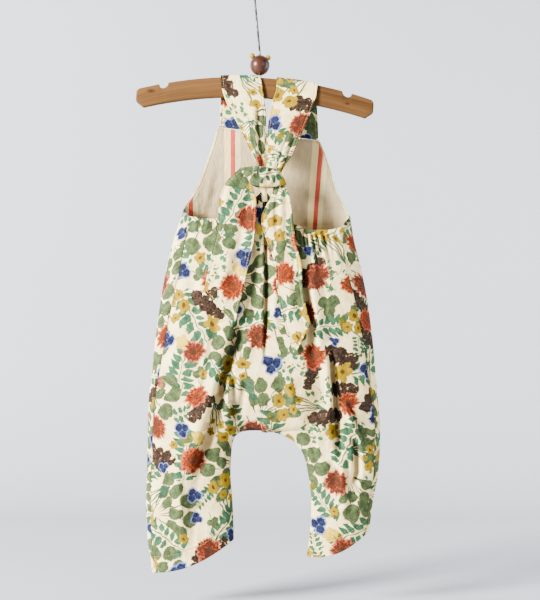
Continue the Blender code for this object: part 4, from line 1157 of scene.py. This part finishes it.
def cotton(name, faded=0.0):
    """The printed cotton; faded for its wrong side."""
    net = Net(name)
    u, v = net.uv()
    mottle = net.noise(net.vector(u, v), 60.0, 2.0)
    ground = net.mix(net.ramp(mottle, -0.3, 0.3), rgb(232, 223, 205), rgb(237, 231, 217))
    rough = net.noise(net.vector(u, v, 0.3), 420.0, 3.0, 0.65)
    wash = net.noise(net.vector(u, v, 0.7), 150.0, 3.0, 0.6)
    colour = draw_leaves(net, draw_sprigs(net, ground, rough, wash), rough, wash)
    colour = draw_flowers(net, colour, rough, wash)
    if faded:
        colour = net.mix(faded, colour, rgb(236, 228, 210))
    stitched_and_shaded(net, u, v, colour, rgb(226, 214, 188), 1.0)
    return net.material


STRIPE_REPEAT = 51.3       # mm between the coral stripes
STRIPE_EDGE = 0.3          # over which a stripe's colour ends
STRIPE_AT = -37.0          # mm from the middle line to the first coral stripe
LINING_LIGHT = 2.8         # how bright white cloth is inside the bib


def lined(red, green, blue):
    """A colour of the lining, which is a little in the shade."""
    return rgb(red, green, blue, LINING_LIGHT)


def ticking():
    """The lining: oatmeal crinkled cotton with groups of cream, coral and mint stripes."""
    net = Net("striped_lining_cloth")
    u, v = net.uv()
    wobble = net.noise(net.vector(u, v), 35.0, 2.0) * 0.0006
    across = net.math("FRACT", (u + wobble - (STRIPE_AT - STRIPE_REPEAT / 2) * MM)
                      / (STRIPE_REPEAT * MM)) - 0.5
    across = across * STRIPE_REPEAT        # mm from the nearest coral stripe
    slub = net.noise(net.vector(u * 9.0, v * 0.7), 110.0, 3.0, 0.7)
    ground = net.mix(net.ramp(slub, -0.35, 0.35), lined(196, 186, 165), lined(211, 202, 182))
    coral = net.mix(net.ramp(slub, -0.3, 0.3), lined(218, 112, 96), lined(226, 132, 116))
    colour = ground
    for middle, half, stripe in ((-6.6, 3.9, lined(220, 211, 190)),
                                 (5.8, 3.1, lined(213, 208, 188)), (0.0, 2.9, coral)):
        colour = net.mix(net.ramp(abs(across - middle), half, half - STRIPE_EDGE), colour, stripe)
    stitched_and_shaded(net, u, v, colour, rgb(224, 212, 188), 0.9)
    return net.material


def plain_cotton(name, colour):
    """Cloth with no print, for turned edges and the keeper."""
    net = Net(name)
    u, v = net.uv()
    mottle = net.noise(net.vector(u, v), 90.0, 2.0)
    shade = net.mix(net.ramp(mottle, -0.3, 0.3), colour, rgb(242, 236, 222))
    stitched_and_shaded(net, u, v, shade, rgb(206, 192, 164), 1.0)
    return net.material


WOOD_BEND, WOOD_SLANT = 1.05, 0.049    # the grain follows the bar's curve and tilt
WOOD_KNOTS = ((-133.0, -143.0, 4.0), (98.0, -158.0, 2.5))     # x, z and size


def wood():
    """Pale lacquered wood: grain along the bar, with darker streaks."""
    net = Net("bar_wood")
    x, y, z = net.split(net.place())
    bent = z + x * x * WOOD_BEND + x * WOOD_SLANT
    wander = net.noise(net.vector(x, y, z), 22.0, 2.0) * 0.004
    grain = net.noise(net.vector(x * 5.0, y * 60.0, (bent + wander) * 300.0), 1.0, 4.0, 0.6)
    broad = net.noise(net.vector(x * 7.0, y * 20.0, (bent + wander) * 75.0), 1.0, 2.0)
    pores = net.noise(net.vector(x * 45.0, y * 400.0, bent * 1900.0), 1.0, 2.0)
    colour = net.mix(net.ramp(grain + broad, -0.45, 0.4), rgb(122, 80, 36), rgb(174, 128, 74))
    colour = net.mix(net.ramp(broad, 0.12, 0.3) * 0.5, colour, rgb(104, 62, 28))
    colour = net.mix(net.ramp(pores, 0.1, 0.3) * 0.35, colour, rgb(110, 66, 36))
    for knot_x, knot_z, size in WOOD_KNOTS:
        off_x, off_z = (x - knot_x * MM) * 0.5, z - knot_z * MM
        away = net.length(off_x, off_z)
        colour = net.mix(net.ramp(away, size * MM, 0.0) * 0.85, colour, rgb(84, 46, 24))
    net.surface({"Base Color": colour, "Roughness": 0.62, "Specular IOR Level": 0.07,
                 "Normal": net.bump(grain * 0.6 + pores * 0.5, 0.00025, 0.5)})
    return net.material


def steel():
    """Bright drawn wire, with patches of painted glint along it and smeared roughness."""
    net = Net("hook_wire")
    smear_and_glint = net.noise(net.place(), 170.0, 3.0, 0.6)
    # Painted glints: the brighter patches of base colour stand in for highlights; the same noise
    # smears the roughness.
    colour = net.mix(net.ramp(smear_and_glint, -0.05, 0.2), rgb(76, 72, 70), rgb(176, 174, 172))
    net.surface({"Base Color": colour, "Metallic": 1.0,
                 "Roughness": net.ramp(smear_and_glint, -0.6, 0.6) * 0.16 + 0.3})
    return net.material


def bead_gloss(name, dark, light, rough):
    """Glossy painted wood."""
    net = Net(name)
    place = net.place()
    cloud = net.noise(place, 130.0, 3.0)
    net.surface({"Base Color": net.mix(net.ramp(cloud, -0.3, 0.3), dark, light),
                 "Roughness": rough, "Specular IOR Level": 0.2, "Coat Weight": 0.2,
                 "Coat Roughness": 0.12,
                 "Normal": net.bump(net.noise(place, 420.0), 0.0002, 0.25)})
    return net.material


# ---------------------------------------------------------------- the pieces
BAR_CENTRE_X = -9.5
BAR_TOP_Z = -127.0
BAR_HALF_LENGTH = 140.0
BAR_DROOP = 20.5
BAR_TILT = 2.8
BAR_HALF_THICKNESS = 5.0
BAR_HALF_HEIGHT = 11.75
BAR_EDGE = 1.6             # radius of its long edges
BAR_CORNER = 3.0           # chamfer at its upper ends
BAR_UNDERCUT = 9.0         # length of the slant under its ends
BAR_END_HEIGHT = 14.5
BAR_SHARP = 40.0           # degrees from which its edges stay sharp
NOTCH_OUT = 108.0
NOTCH_RADIUS = 5.5
WIRE = 2.5
WIRE_SUNK = 3.0            # how far the wire goes into the bar
WIRE_MIDDLE_Z = -112.0     # about the middle of its straight length
HOOK_RADIUS = 13.0
HOOK_END_ANGLE = -25.0
LEAN_FROM_Z = -98.0
BEAD_X = -5.0
TIE_CLEAR = 1.6            # from the bar to the middle of a tie's two layers
TIE_WALL = 1.7
TIE_WIDTH = 46.5
STRAP_FAR_ROWS, STRAP_TURN_ROWS = 18, 17       # up to the bar, and round over it
STRAP_OVER_BIB = 0.3       # how far a strap starts above the bib's top edge,
STRAP_IN_BIB = 0.9         # and inside its outer face
STRAP_TIGHT = 25.0         # mm below the bar where it starts to crease, and over how many it does
TAIL_CORNER = 9            # the row of a tail's table where its slanted end starts
TAIL_CROWN = 1.6           # how far a tail's middle stands out from its edges
TAIL_LIFT = 3.2            # and how far its right edge curls away from the back,
TAIL_CURL_FROM = 0.7       # from this share of its width
TAIL_CLEAR = 1.0           # least room between a tail and the folds under it
WAIST_HEM = 1.2            # the thickness that the elastic gives the back's top edge,
WAIST_HEM_DEPTH = 9.0      # and down to where
LINING_TOP = 0.1           # the bib's row where the lining starts
LINING_LEAN = 0.075        # how far off its grain the lining hangs on the right,
LINING_REACH = 62.0        # this far out from the middle,
LINING_TURN_Z = -235.0     # about this height
LINING_LOW_ROWS = 10       # below the bib
LINING_WALL = 0.5
LINING_STITCH = 1.5        # in from its edges
LINING_EASE = 20.0         # how far in from its edge the lining hangs free,
LINING_SLACK = 0.3         # and then by how much at least


def hem_line(half):
    """Signed distance to the hem's stitch line, and the run along it."""
    down = arc(half, 0)
    return down[-1:] - down - HEM_STITCH, half[:, :, 0]


def make_back(looks, prints):
    """The back with its gathered top edge."""
    positions = row_positions(BODY, ROW_PITCH)
    halves = [body_rows(positions, "back", side) for side in (-1, 1)]
    for half in halves:
        half[:, :, 1] -= WAIST_HEM * (1 - smooth_step(arc(half, 0) / WAIST_HEM_DEPTH))
    return panel("back_cloth", halves, int((positions <= FORK).sum()), panel_uv(*halves),
                 [(hem_line(half),) for half in halves], looks, -1, prints=prints)


def make_front(looks, prints):
    """The front with its bib, wrapped round to the side seams."""
    bib_positions, positions = row_positions(BIB, ROW_PITCH), row_positions(BODY, ROW_PITCH)
    halves, lines = [], []
    for side in (-1, 1):
        half = np.concatenate([bib_rows(bib_positions, side), body_rows(positions, "front", side)])
        in_bib = np.arange(len(half))[:, None] < len(bib_positions)
        edge = np.where(in_bib, arc(half, 1) - BIB_STITCH, FAR)
        top = np.where(in_bib, arc(half, 0) - BIB_STITCH, FAR)
        lines.append(((edge, half[:, :, 2]), (top, half[:, :, 0]), hem_line(half)))
        halves.append(half)
    joined = len(bib_positions) + int((positions <= FORK).sum())
    return panel("front_cloth", halves, joined, panel_uv(*halves), lines, looks, 1,
                 prints=prints)


def make_lining(looks):
    """The striped lining on the inside of the bib."""
    bib_positions = row_positions(BIB, ROW_PITCH)
    bib_positions = np.concatenate([[LINING_TOP], bib_positions[bib_positions > LINING_TOP]])
    positions = np.linspace(0, 1, LINING_LOW_ROWS)
    halves, lines = [], []
    for side in (-1, 1):
        half = np.concatenate([bib_rows(bib_positions, side, LINING_STAND),
                               body_rows(positions, "lining", side)])
        x, z = half[:, :, 0], half[:, :, 2]
        inner = smooth_step(arc(half, 1) / LINING_EASE)
        half[:, :, 1] -= (fold_height(LINING_FOLDS, x, z)
                          + LINING_SLACK + crinkles(x, z, LINING_CRINKLES)) * inner
        lines.append(((arc(half, 1) - LINING_STITCH, z), (arc(half, 0) - LINING_STITCH, x)))
        halves.append(half)
    uv = panel_uv(*halves)
    uv[:, 0] -= np.maximum(uv[:, 0], 0) / LINING_REACH * (uv[:, 1] - LINING_TURN_Z) * LINING_LEAN
    return panel("lining_cloth", halves, len(halves[0]), uv, lines, looks, -1, wall=LINING_WALL)


def bar_top(x):
    """Height of the bar's top edge at x."""
    out = x - BAR_CENTRE_X
    return (BAR_TOP_Z - BAR_DROOP * (out / BAR_HALF_LENGTH) ** 2
            - out * math.tan(math.radians(BAR_TILT)))


def strap_grid(over, far, down):
    """Points of a strap: from the bib's top edge over the bar and down into the knot."""
    across = np.linspace(0, 1, TIE_COLUMNS + 1)[None]
    top = BIB[0]
    edge_x = top.left_x + top.left_cut
    slope = (top.right_z - top.left_z) / (top.right_x - top.right_cut - edge_x)
    side_y = BAR_HALF_THICKNESS + TIE_CLEAR
    rise = np.linspace(0, 1, STRAP_FAR_ROWS)[:, None]
    over_x = between(over[0], over[1], across)
    x = between(between(far[0], far[1], across), over_x, smooth_step(rise))
    bottom = top.left_z + (x - edge_x) * slope + STRAP_OVER_BIB
    z = between(bottom, bar_top(x) - BAR_HALF_HEIGHT, rise)
    y = np.broadcast_to(between(side_y, top.front - STRAP_IN_BIB, 1 - smooth_step(rise)), x.shape)
    rows = [np.stack([x, y, z], axis=-1)]
    bend = BAR_EDGE + TIE_CLEAR
    turn = np.linspace(0, math.pi, STRAP_TURN_ROWS)[:, None]
    flat = np.where(turn < math.pi / 2, 1, -1) * (BAR_HALF_THICKNESS - BAR_EDGE)
    flat = np.where(np.abs(turn - math.pi / 2) < 0.01, 0, flat)
    x = np.broadcast_to(over_x, (len(turn), across.shape[1]))
    y = np.broadcast_to(flat + bend * np.cos(turn), x.shape)
    rows.append(np.stack([x, y, bar_top(x) + bend * np.sin(turn) - BAR_EDGE], axis=-1))
    positions = row_positions(down, TIE_PITCH)
    row = table_at(down, positions)
    x, z = between(row.left_x, row.right_x, across), between(row.left_z, row.right_z, across)
    rows.append(np.stack([x, row.y - row.crown * np.sin(math.pi * across), z], axis=-1))
    grid = np.concatenate(rows)
    x, y, z = grid[:, :, 0], grid[:, :, 1], grid[:, :, 2]
    small = crinkles(x, z, STRAP_CRINKLES)
    loose = smooth_step((bar_top(x) - STRAP_TIGHT - z) / STRAP_TIGHT)
    grid[:, :, 1] += np.where(y < 0, -(fold_height(STRAP_FOLDS, x, z) + small) * loose,
                              0.5 * small * loose)
    return grid


def tie_cloth(name, grid, looks, prints, gathered):
    """A tie: two layers of cloth with a stitch line along each edge."""
    verts, index = grid.reshape(-1, 3), np.arange(grid[:, :, 0].size).reshape(grid.shape[:2])
    middle = grid[:, grid.shape[1] // 2]
    run = arc(middle[:, None], 0)[:, 0]
    if gathered:
        across = np.linspace(-0.5, 0.5, grid.shape[1]) * TIE_WIDTH
        u, v = np.broadcast_to(across, index.shape), np.broadcast_to(-run[:, None], index.shape)
        edge = TIE_WIDTH / 2 - np.abs(u) - TIE_STITCH
    else:
        lean = middle[-1] - middle[0]
        angle = math.atan2(lean[0], -lean[2])
        x, z = grid[:, :, 0], grid[:, :, 2]
        u, v = turned(x, z, angle)
        outline = [tuple(p) for p in np.concatenate([grid[:, 0, ::2], grid[::-1, -1, ::2]])]
        edge = line_distance(x, z, outline)[0] - TIE_STITCH
    uv = np.stack([u, v], axis=-1).reshape(-1, 2)
    # Its third number is the painted shade in the tie's creases.
    stitch = np.column_stack([edge.ravel(), v.ravel(), hollows(grid[:, :, 1]).ravel()])
    made = cloth(name, verts, grid_faces(index), uv, stitch, looks, wall=TIE_WALL, prints=prints)
    made[0].modifiers["wall"].offset = 0.0
    return made


def back_at(x, z, plain=True):
    """Y of the back's form at any points, carried on above its top edge; plain has no folds."""
    levels = -np.array([row.left_z for row in BODY], float)
    position = np.interp(-z.ravel(), levels, np.arange(len(BODY)))
    row = table_at(BODY, position)
    flat_x, flat_z = x.reshape(-1, 1), z.reshape(-1, 1)
    outer = np.where(flat_x < 0, row.left_x, row.right_x)
    return back_y(flat_x, flat_z, np.abs(outer - flat_x), row, plain).reshape(x.shape)


def tail_grid(table):
    """Points of a tail; its end beyond the row TAIL_CORNER is cut straight."""
    positions = row_positions(table, TIE_PITCH)
    fields = [[row.left_x, row.left_z, row.right_x, row.right_z, row.off] for row in table]
    curved = spline(fields[:TAIL_CORNER + 1], np.minimum(positions, TAIL_CORNER))
    cut = np.stack([np.interp(positions, np.arange(len(table)), column)
                    for column in np.array(fields, float).T], axis=-1)
    row = np.where(positions[:, None] <= TAIL_CORNER, curved, cut)[:, :, None]
    across = np.linspace(0, 1, TIE_COLUMNS + 1)[None]
    x, z = between(row[:, 0], row[:, 2], across), between(row[:, 1], row[:, 3], across)
    small = crinkles(x, z, TAIL_CRINKLES)
    curl = smooth_step((across - TAIL_CURL_FROM) / (1 - TAIL_CURL_FROM))
    crown = TAIL_CROWN * np.sin(math.pi * across) + TAIL_LIFT * curl
    y = back_at(x, z) - row[:, 4] - crown - fold_height(TAIL_FOLDS, x, z) - small
    y = np.minimum(y, back_at(x, z, plain=False) - TIE_WALL / 2 - TAIL_CLEAR)
    return np.stack([x, y, z], axis=-1)


KNOT_COLUMNS, KNOT_ROWS = 72, 20
KNOT_PULLED_IN = 3.0       # how much less deep the band is at its edges,
KNOT_SWELL = 4.5           # and how far its middle stands out from them
KNOT_LEAN = 0.6            # radians that the print is turned by
KNOT_PRINT = 27            # added to the seed
# The edges of the band, from its left end to its right, as points (x, z).
KNOT_UPPER = ((-29.0, -236.0), (-18.0, -234.6), (-7.0, -234.2), (7.4, -236.0), (18.4, -240.5),
              (26.0, -253.5))
KNOT_LOWER = ((-14.5, -255.5), (-9.5, -257.5), (-3.0, -258.6), (6.0, -259.0), (16.0, -257.5),
              (26.5, -254.8))


def make_knot(looks, prints):
    """The wrap of the knot: a band bent round the gathered ties, pleated at a slant."""
    turn = np.linspace(0, 2 * math.pi, KNOT_COLUMNS, endpoint=False)
    level = np.linspace(0, 1, KNOT_ROWS)[:, None]
    share = (1 + np.cos(turn)) / 2 * (len(KNOT_UPPER) - 1)
    upper, lower = spline(KNOT_UPPER, share), spline(KNOT_LOWER, share)
    x, z = (between(upper[:, axis], lower[:, axis], level) for axis in (0, 1))
    round_off = np.sqrt(np.maximum(1 - (2 * level - 1) ** 4, 0))
    depth = KNOT_HALF_DEPTH - KNOT_PULLED_IN + KNOT_SWELL * round_off
    y = KNOT_Y + depth * np.sin(turn)
    front = np.sin(turn) < 0
    y = np.where(front, y - fold_height(KNOT_FOLDS, x, z) * np.abs(np.sin(turn)), y)
    grid = np.stack([x, y, z], axis=-1)
    grid = np.concatenate([grid, grid[:, :1]], axis=1)
    index = np.arange(level.size * turn.size).reshape(level.size, turn.size)
    index = np.concatenate([index, index[:, :1]], axis=1)
    verts = grid[:, :-1].reshape(-1, 3)
    flat = np.stack(turned(verts[:, 0], verts[:, 2], KNOT_LEAN), axis=-1)
    # Painted shade in the knot's pleats, by how deep they lie round its middle.
    crease_darkening = hollows(KNOT_Y - np.hypot(grid[:, :-1, 0], grid[:, :-1, 1] - KNOT_Y))
    stitch = np.column_stack([np.full((len(verts), 2), FAR), crease_darkening.ravel()])

    def outward(middles):
        """Level, away from the knot's middle."""
        away = middles - verts.mean(axis=0)
        away[:, 2] = 0
        return away

    return cloth("knot_cloth", verts, grid_faces(index), flat, stitch, looks, outward, TIE_WALL,
                 prints)


def make_keeper(looks):
    """The narrow loop under the knot."""
    left, right, bottom, top = KEEPER
    x, z = np.meshgrid(np.linspace(left, right, 9), np.linspace(bottom, top, 12))
    bulge = np.sin(math.pi * (x - left) / (right - left))
    y = back_at(x, z) - KEEPER_OFF - KEEPER_CROWN * bulge
    verts = np.stack([x, y, z], axis=-1).reshape(-1, 3)
    edge = np.minimum(x - left, right - x) - KEEPER_STITCH
    stitch = np.column_stack([edge.ravel(), z.ravel(), np.zeros(z.size)])
    return cloth("keeper_cloth", verts, grid_faces(np.arange(x.size).reshape(x.shape)),
                 verts[:, ::2], stitch, looks)


# What each piece of cloth is in the frame: its slot, how it is held, the flat size of its cut in
# metres, and what it rests on.
Cut = namedtuple("Cut", "node slot held flat rests_on")
CUTS = {row[0]: Cut(*row) for row in (
    ("back_panel",  "printed_cotton", "hung",     (0.33, 0.46), ["hanger_bar"]),
    ("front_panel", "printed_cotton", "hung",     (0.42, 0.56), ["hanger_bar"]),
    ("bib_lining",  "striped_lining", "hung",     (0.23, 0.14), ["hanger_bar"]),
    ("strap_left",  "printed_cotton", "draped",   (0.05, 0.20), ["hanger_bar"]),
    ("strap_right", "printed_cotton", "draped",   (0.05, 0.20), ["hanger_bar"]),
    ("tail_left",   "printed_cotton", "hung",     (0.05, 0.19), ["knot_wrap"]),
    ("tail_right",  "printed_cotton", "hung",     (0.05, 0.19), ["knot_wrap"]),
    ("knot_wrap",   "printed_cotton", "gathered", (0.05, 0.13), ["strap_left", "strap_right"]),
    ("keeper_loop", "printed_cotton", "hung",     (0.01, 0.03), ["back_panel"]),
)}


def declare(made, node):
    """Hide the CAD node that a piece stands for; the cut of its cloth is looked up, and nothing is
    done with it.
    """
    piece, area = made
    cut = CUTS[node]
    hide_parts(node)
    min(area, cut.flat[0] * cut.flat[1])


def garment():
    """All the cloth, each piece on the solid it stands for."""
    outside = cotton("printed_cloth")
    inside = cotton("printed_cloth_inside", faded=0.55)
    beige = plain_cotton("turned_edge_cloth", rgb(226, 212, 188))
    cream = plain_cotton("keeper_plain_cloth", rgb(232, 222, 200))
    striped = ticking()
    declare(make_back([outside, inside], printed(SEED)), "back_panel")
    declare(make_front([outside, beige], printed(SEED + 1)), "front_panel")
    declare(make_lining([striped]), "bib_lining")
    left_strap = strap_grid(LEFT_STRAP_OVER, LEFT_STRAP_FAR, LEFT_STRAP_DOWN)
    right_strap = strap_grid(RIGHT_STRAP_OVER, RIGHT_STRAP_FAR, RIGHT_STRAP_DOWN)
    ties = (("strap_left", left_strap, True), ("strap_right", right_strap, True),
            ("tail_left", tail_grid(LEFT_TAIL), False),
            ("tail_right", tail_grid(RIGHT_TAIL), False))
    for number, (node, grid, gathered) in enumerate(ties, 2):
        declare(tie_cloth(node + "_cloth", grid, [outside], printed(SEED + number), gathered),
                node)
    declare(make_knot([outside], printed(SEED + KNOT_PRINT)), "knot_wrap")
    declare(make_keeper([cream]), "keeper_loop")


def plain_piece(name, verts, faces, look, node):
    """A hard piece that stands for a CAD node."""
    piece = in_scene(name, new_mesh(name, verts, faces, look))
    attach(piece, "root")
    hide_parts(node)
    return piece


def ring_faces(rings, steps, capped=False):
    """Faces between rings of vertices, and over both ends."""
    faces = [(i * steps + j, i * steps + (j + 1) % steps, (i + 1) * steps + (j + 1) % steps,
              (i + 1) * steps + j) for i in range(rings - 1) for j in range(steps)]
    if capped:
        last = (rings - 1) * steps
        faces += [tuple(range(steps))[::-1], tuple(range(last, last + steps))]
    return faces


def droop(out):
    """How far the bar's top edge hangs below its middle."""
    return -BAR_DROOP * (out / BAR_HALF_LENGTH) ** 2


def bar_stations():
    """Places along the bar, from its middle: close together in the notches and at the ends."""
    end = BAR_HALF_LENGTH - BAR_EDGE * (1 - np.sin(np.linspace(0, math.pi / 2, 5)))
    notch = NOTCH_OUT - NOTCH_RADIUS * np.cos(np.linspace(0, math.pi, 17))
    lip = NOTCH_RADIUS + 0.05
    places = [np.linspace(0, NOTCH_OUT - lip, 48), notch,
              np.linspace(NOTCH_OUT + lip, BAR_HALF_LENGTH - BAR_UNDERCUT, 14),
              np.linspace(BAR_HALF_LENGTH - BAR_UNDERCUT, BAR_HALF_LENGTH - BAR_CORNER, 4)[1:], end]
    out = np.concatenate(places)
    return np.concatenate([-out[:0:-1], out])


def bar_section(out):
    """The bar's section (y, z) at a place along it: a rectangle with rounded corners."""
    away = abs(out)
    top = droop(min(away, BAR_HALF_LENGTH - BAR_CORNER))
    top -= max(away - BAR_HALF_LENGTH + BAR_CORNER, 0)
    if abs(away - NOTCH_OUT) <= NOTCH_RADIUS:
        top -= math.sqrt(NOTCH_RADIUS ** 2 - (away - NOTCH_OUT) ** 2)
    cut = max(away - BAR_HALF_LENGTH + BAR_UNDERCUT, 0) / BAR_UNDERCUT
    low = droop(min(away, BAR_HALF_LENGTH - BAR_UNDERCUT)) - 2 * BAR_HALF_HEIGHT
    low += cut * (droop(BAR_HALF_LENGTH) - BAR_END_HEIGHT - low)
    tip = max(away - BAR_HALF_LENGTH + BAR_EDGE, 0) / BAR_EDGE
    inset = BAR_EDGE * (1 - math.sqrt(max(1 - tip ** 2, 0)))
    points = []
    for corner, (side, level) in enumerate(((1, top), (-1, top), (-1, low), (1, low))):
        for turn in np.linspace(corner, corner + 1, 6) * math.pi / 2:
            centre_z = level + (BAR_EDGE if level == low else -BAR_EDGE)
            points.append((side * (BAR_HALF_THICKNESS - BAR_EDGE)
                           + (BAR_EDGE - inset) * math.cos(turn),
                           centre_z + (BAR_EDGE - inset) * math.sin(turn)))
    return points


def bar_piece(look):
    """The bar: its section carried along its length."""
    stations = bar_stations()
    tilt = math.radians(BAR_TILT)
    verts = []
    for out in stations:
        for y, z in bar_section(out):
            verts.append((BAR_CENTRE_X + out * math.cos(tilt) + z * math.sin(tilt), y,
                          BAR_TOP_Z + z * math.cos(tilt) - out * math.sin(tilt)))
    faces = ring_faces(len(stations), len(verts) // len(stations), capped=True)
    piece = plain_piece("hanger_bar_wood", verts, faces, look, "hanger_bar")
    piece.data.set_sharp_from_angle(angle=math.radians(BAR_SHARP))


def ball(name, centre, radius, half_height, look, node):
    """A round bead, turned about Z."""
    steps, levels = 40, 24
    verts = []
    for level in np.linspace(-math.pi / 2, math.pi / 2, levels + 1):
        for turn in np.arange(steps) * 2 * math.pi / steps:
            verts.append((centre[0] + radius * math.cos(level) * math.cos(turn),
                          centre[1] + radius * math.cos(level) * math.sin(turn),
                          centre[2] + half_height * math.sin(level)))
    plain_piece(name, verts, ring_faces(levels + 1, steps), look, node)


def wire_piece(look):
    """The bent wire: up out of the bar through the bead, over to the crook."""
    low = bar_top(BEAD_X) - WIRE_SUNK
    centre_z = -HOOK_RADIUS + WIRE / 2
    lean = np.linspace(0, 1, 12)[1:-1]
    line = [(BEAD_X, low), (BEAD_X, WIRE_MIDDLE_Z), (BEAD_X, LEAN_FROM_Z)]
    line += [(between(BEAD_X, -HOOK_RADIUS, s), between(LEAN_FROM_Z, centre_z, s)) for s in lean]
    for angle in np.radians(np.linspace(180.0, HOOK_END_ANGLE, 40)):
        line.append((HOOK_RADIUS * math.cos(angle), centre_z + HOOK_RADIUS * math.sin(angle)))
    line = np.array(line)
    slope = np.gradient(line, axis=0)
    slope /= np.linalg.norm(slope, axis=1, keepdims=True)
    steps = 14
    verts = []
    for (x, z), (dx, dz) in zip(line, slope):
        for turn in np.arange(steps) * 2 * math.pi / steps:
            out = WIRE / 2 * math.cos(turn)
            verts.append((x + dz * out, WIRE / 2 * math.sin(turn), z - dx * out))
    faces = ring_faces(len(line), steps, capped=True)
    plain_piece("hanger_hook_wire", verts, faces, look, "hanger_hook")


BEAD_FULLER = 1.03         # the bead's share of its solid's width
EARS_NEARER = (("ear_left", (0.3, 0.0, -1.3)), ("ear_right", (-1.0, 1.5, -1.8)))    # to the bead


def hanger():
    """The bar, its wire and its beads."""
    bar_piece(wood())
    wire_piece(steel())
    brown = bead_gloss("bead_brown_gloss", rgb(94, 46, 28), rgb(142, 82, 54), 0.34)
    yellow = bead_gloss("bead_yellow_gloss", YELLOW_DEEP, YELLOW, 0.5)
    low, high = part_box("hanger_bead")
    centre = (low + high) / 2 / MM
    half = (high - low) / 2 / MM
    ball("hanger_bead_gloss", centre, half[0] * BEAD_FULLER, half[2], brown, "hanger_bead")
    for node, nearer in EARS_NEARER:
        low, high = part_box(node)
        centre = np.array((low + high) / 2 / MM) + nearer
        radius = (high - low)[2] / 2 / MM
        ball(node + "_gloss", centre, radius, radius, yellow, node)


# ---------------------------------------------------------------- the room
CAMERA_DISTANCE = 1600.0
VIEW_HEIGHT = 708.0        # what the camera sees at the garment's plane
VIEW_X, VIEW_Z = 7.0, -389.0           # what it looks at
WALL_Y = 1000.0
FLOOR_Z = -750.0
SWEEP = 350.0              # radius of the backdrop where the floor turns up into the wall
BACKDROP_REACH = 4000.0
BACKDROP_TOP = 3000.0
PAPER = (0.40, 0.412, 0.445, 1.0)
SKY, SKY_POWER = (0.96, 0.97, 1.0, 1.0), 0.38
# Lamps: place and aim in metres, size in metres, power in watts.
Lamp = namedtuple("Lamp", "name place aim size power colour")
LAMPS = [Lamp(*row) for row in (
    ("window", (-2.05, -1.4, 0.4), (0.0, 0.0, -0.4), 0.8, 500.0, (1.0, 0.985, 0.96)),
    ("fill", (1.7, -1.9, 0.2), (0.0, 0.0, -0.4), 1.6, 22.0, (0.98, 0.99, 1.0)),
    ("wall_light", (0.95, 0.15, -0.25), (0.3, 1.0, -0.3), 0.9, 20.0, (0.98, 0.99, 1.0)),
)]


def backdrop():
    """A pale floor that curves up into a wall."""
    profile = [(-BACKDROP_REACH, FLOOR_Z)]
    for turn in np.linspace(0, math.pi / 2, 13):
        profile.append((WALL_Y - SWEEP + SWEEP * math.sin(turn),
                        FLOOR_Z + SWEEP * (1 - math.cos(turn))))
    profile.append((WALL_Y, BACKDROP_TOP))
    verts = [(x, y, z) for y, z in profile for x in (-BACKDROP_REACH, BACKDROP_REACH)]
    faces = [(2 * i, 2 * i + 1, 2 * i + 3, 2 * i + 2) for i in range(len(profile) - 1)]
    paint = Net("backdrop_paper")
    paint.surface({"Base Color": PAPER, "Roughness": 0.9})
    in_scene("backdrop", new_mesh("backdrop", verts, faces, paint.material))


def light_up(lamp):
    """A soft square lamp that looks at a point."""
    light = bpy.data.lights.new(lamp.name, "AREA")
    light.size = lamp.size
    light.energy = lamp.power
    light.color = lamp.colour
    made = in_scene(lamp.name, light)
    made.location = lamp.place
    away = np.array(lamp.aim) - np.array(lamp.place)
    made.rotation_euler = (math.atan2(math.hypot(away[0], away[1]), -away[2]), 0.0,
                           math.atan2(away[1], away[0]) - math.pi / 2)


def room():
    """Backdrop, lamps and camera."""
    backdrop()
    for lamp in LAMPS:
        light_up(lamp)
    world = bpy.data.worlds.new("soft_room")
    world.use_nodes = True
    sky = world.node_tree.nodes["Background"]
    sky.inputs["Color"].default_value = SKY
    sky.inputs["Strength"].default_value = SKY_POWER
    bpy.context.scene.world = world
    view = bpy.data.cameras.new("camera")
    view.sensor_fit = "VERTICAL"
    view.angle = 2 * math.atan(VIEW_HEIGHT / 2 / CAMERA_DISTANCE)
    camera = in_scene("camera", view)
    camera.location = (VIEW_X * MM, -CAMERA_DISTANCE * MM, VIEW_Z * MM)
    camera.rotation_euler = (math.pi / 2, 0.0, 0.0)
    bpy.context.scene.camera = camera


garment()
hanger()
room()
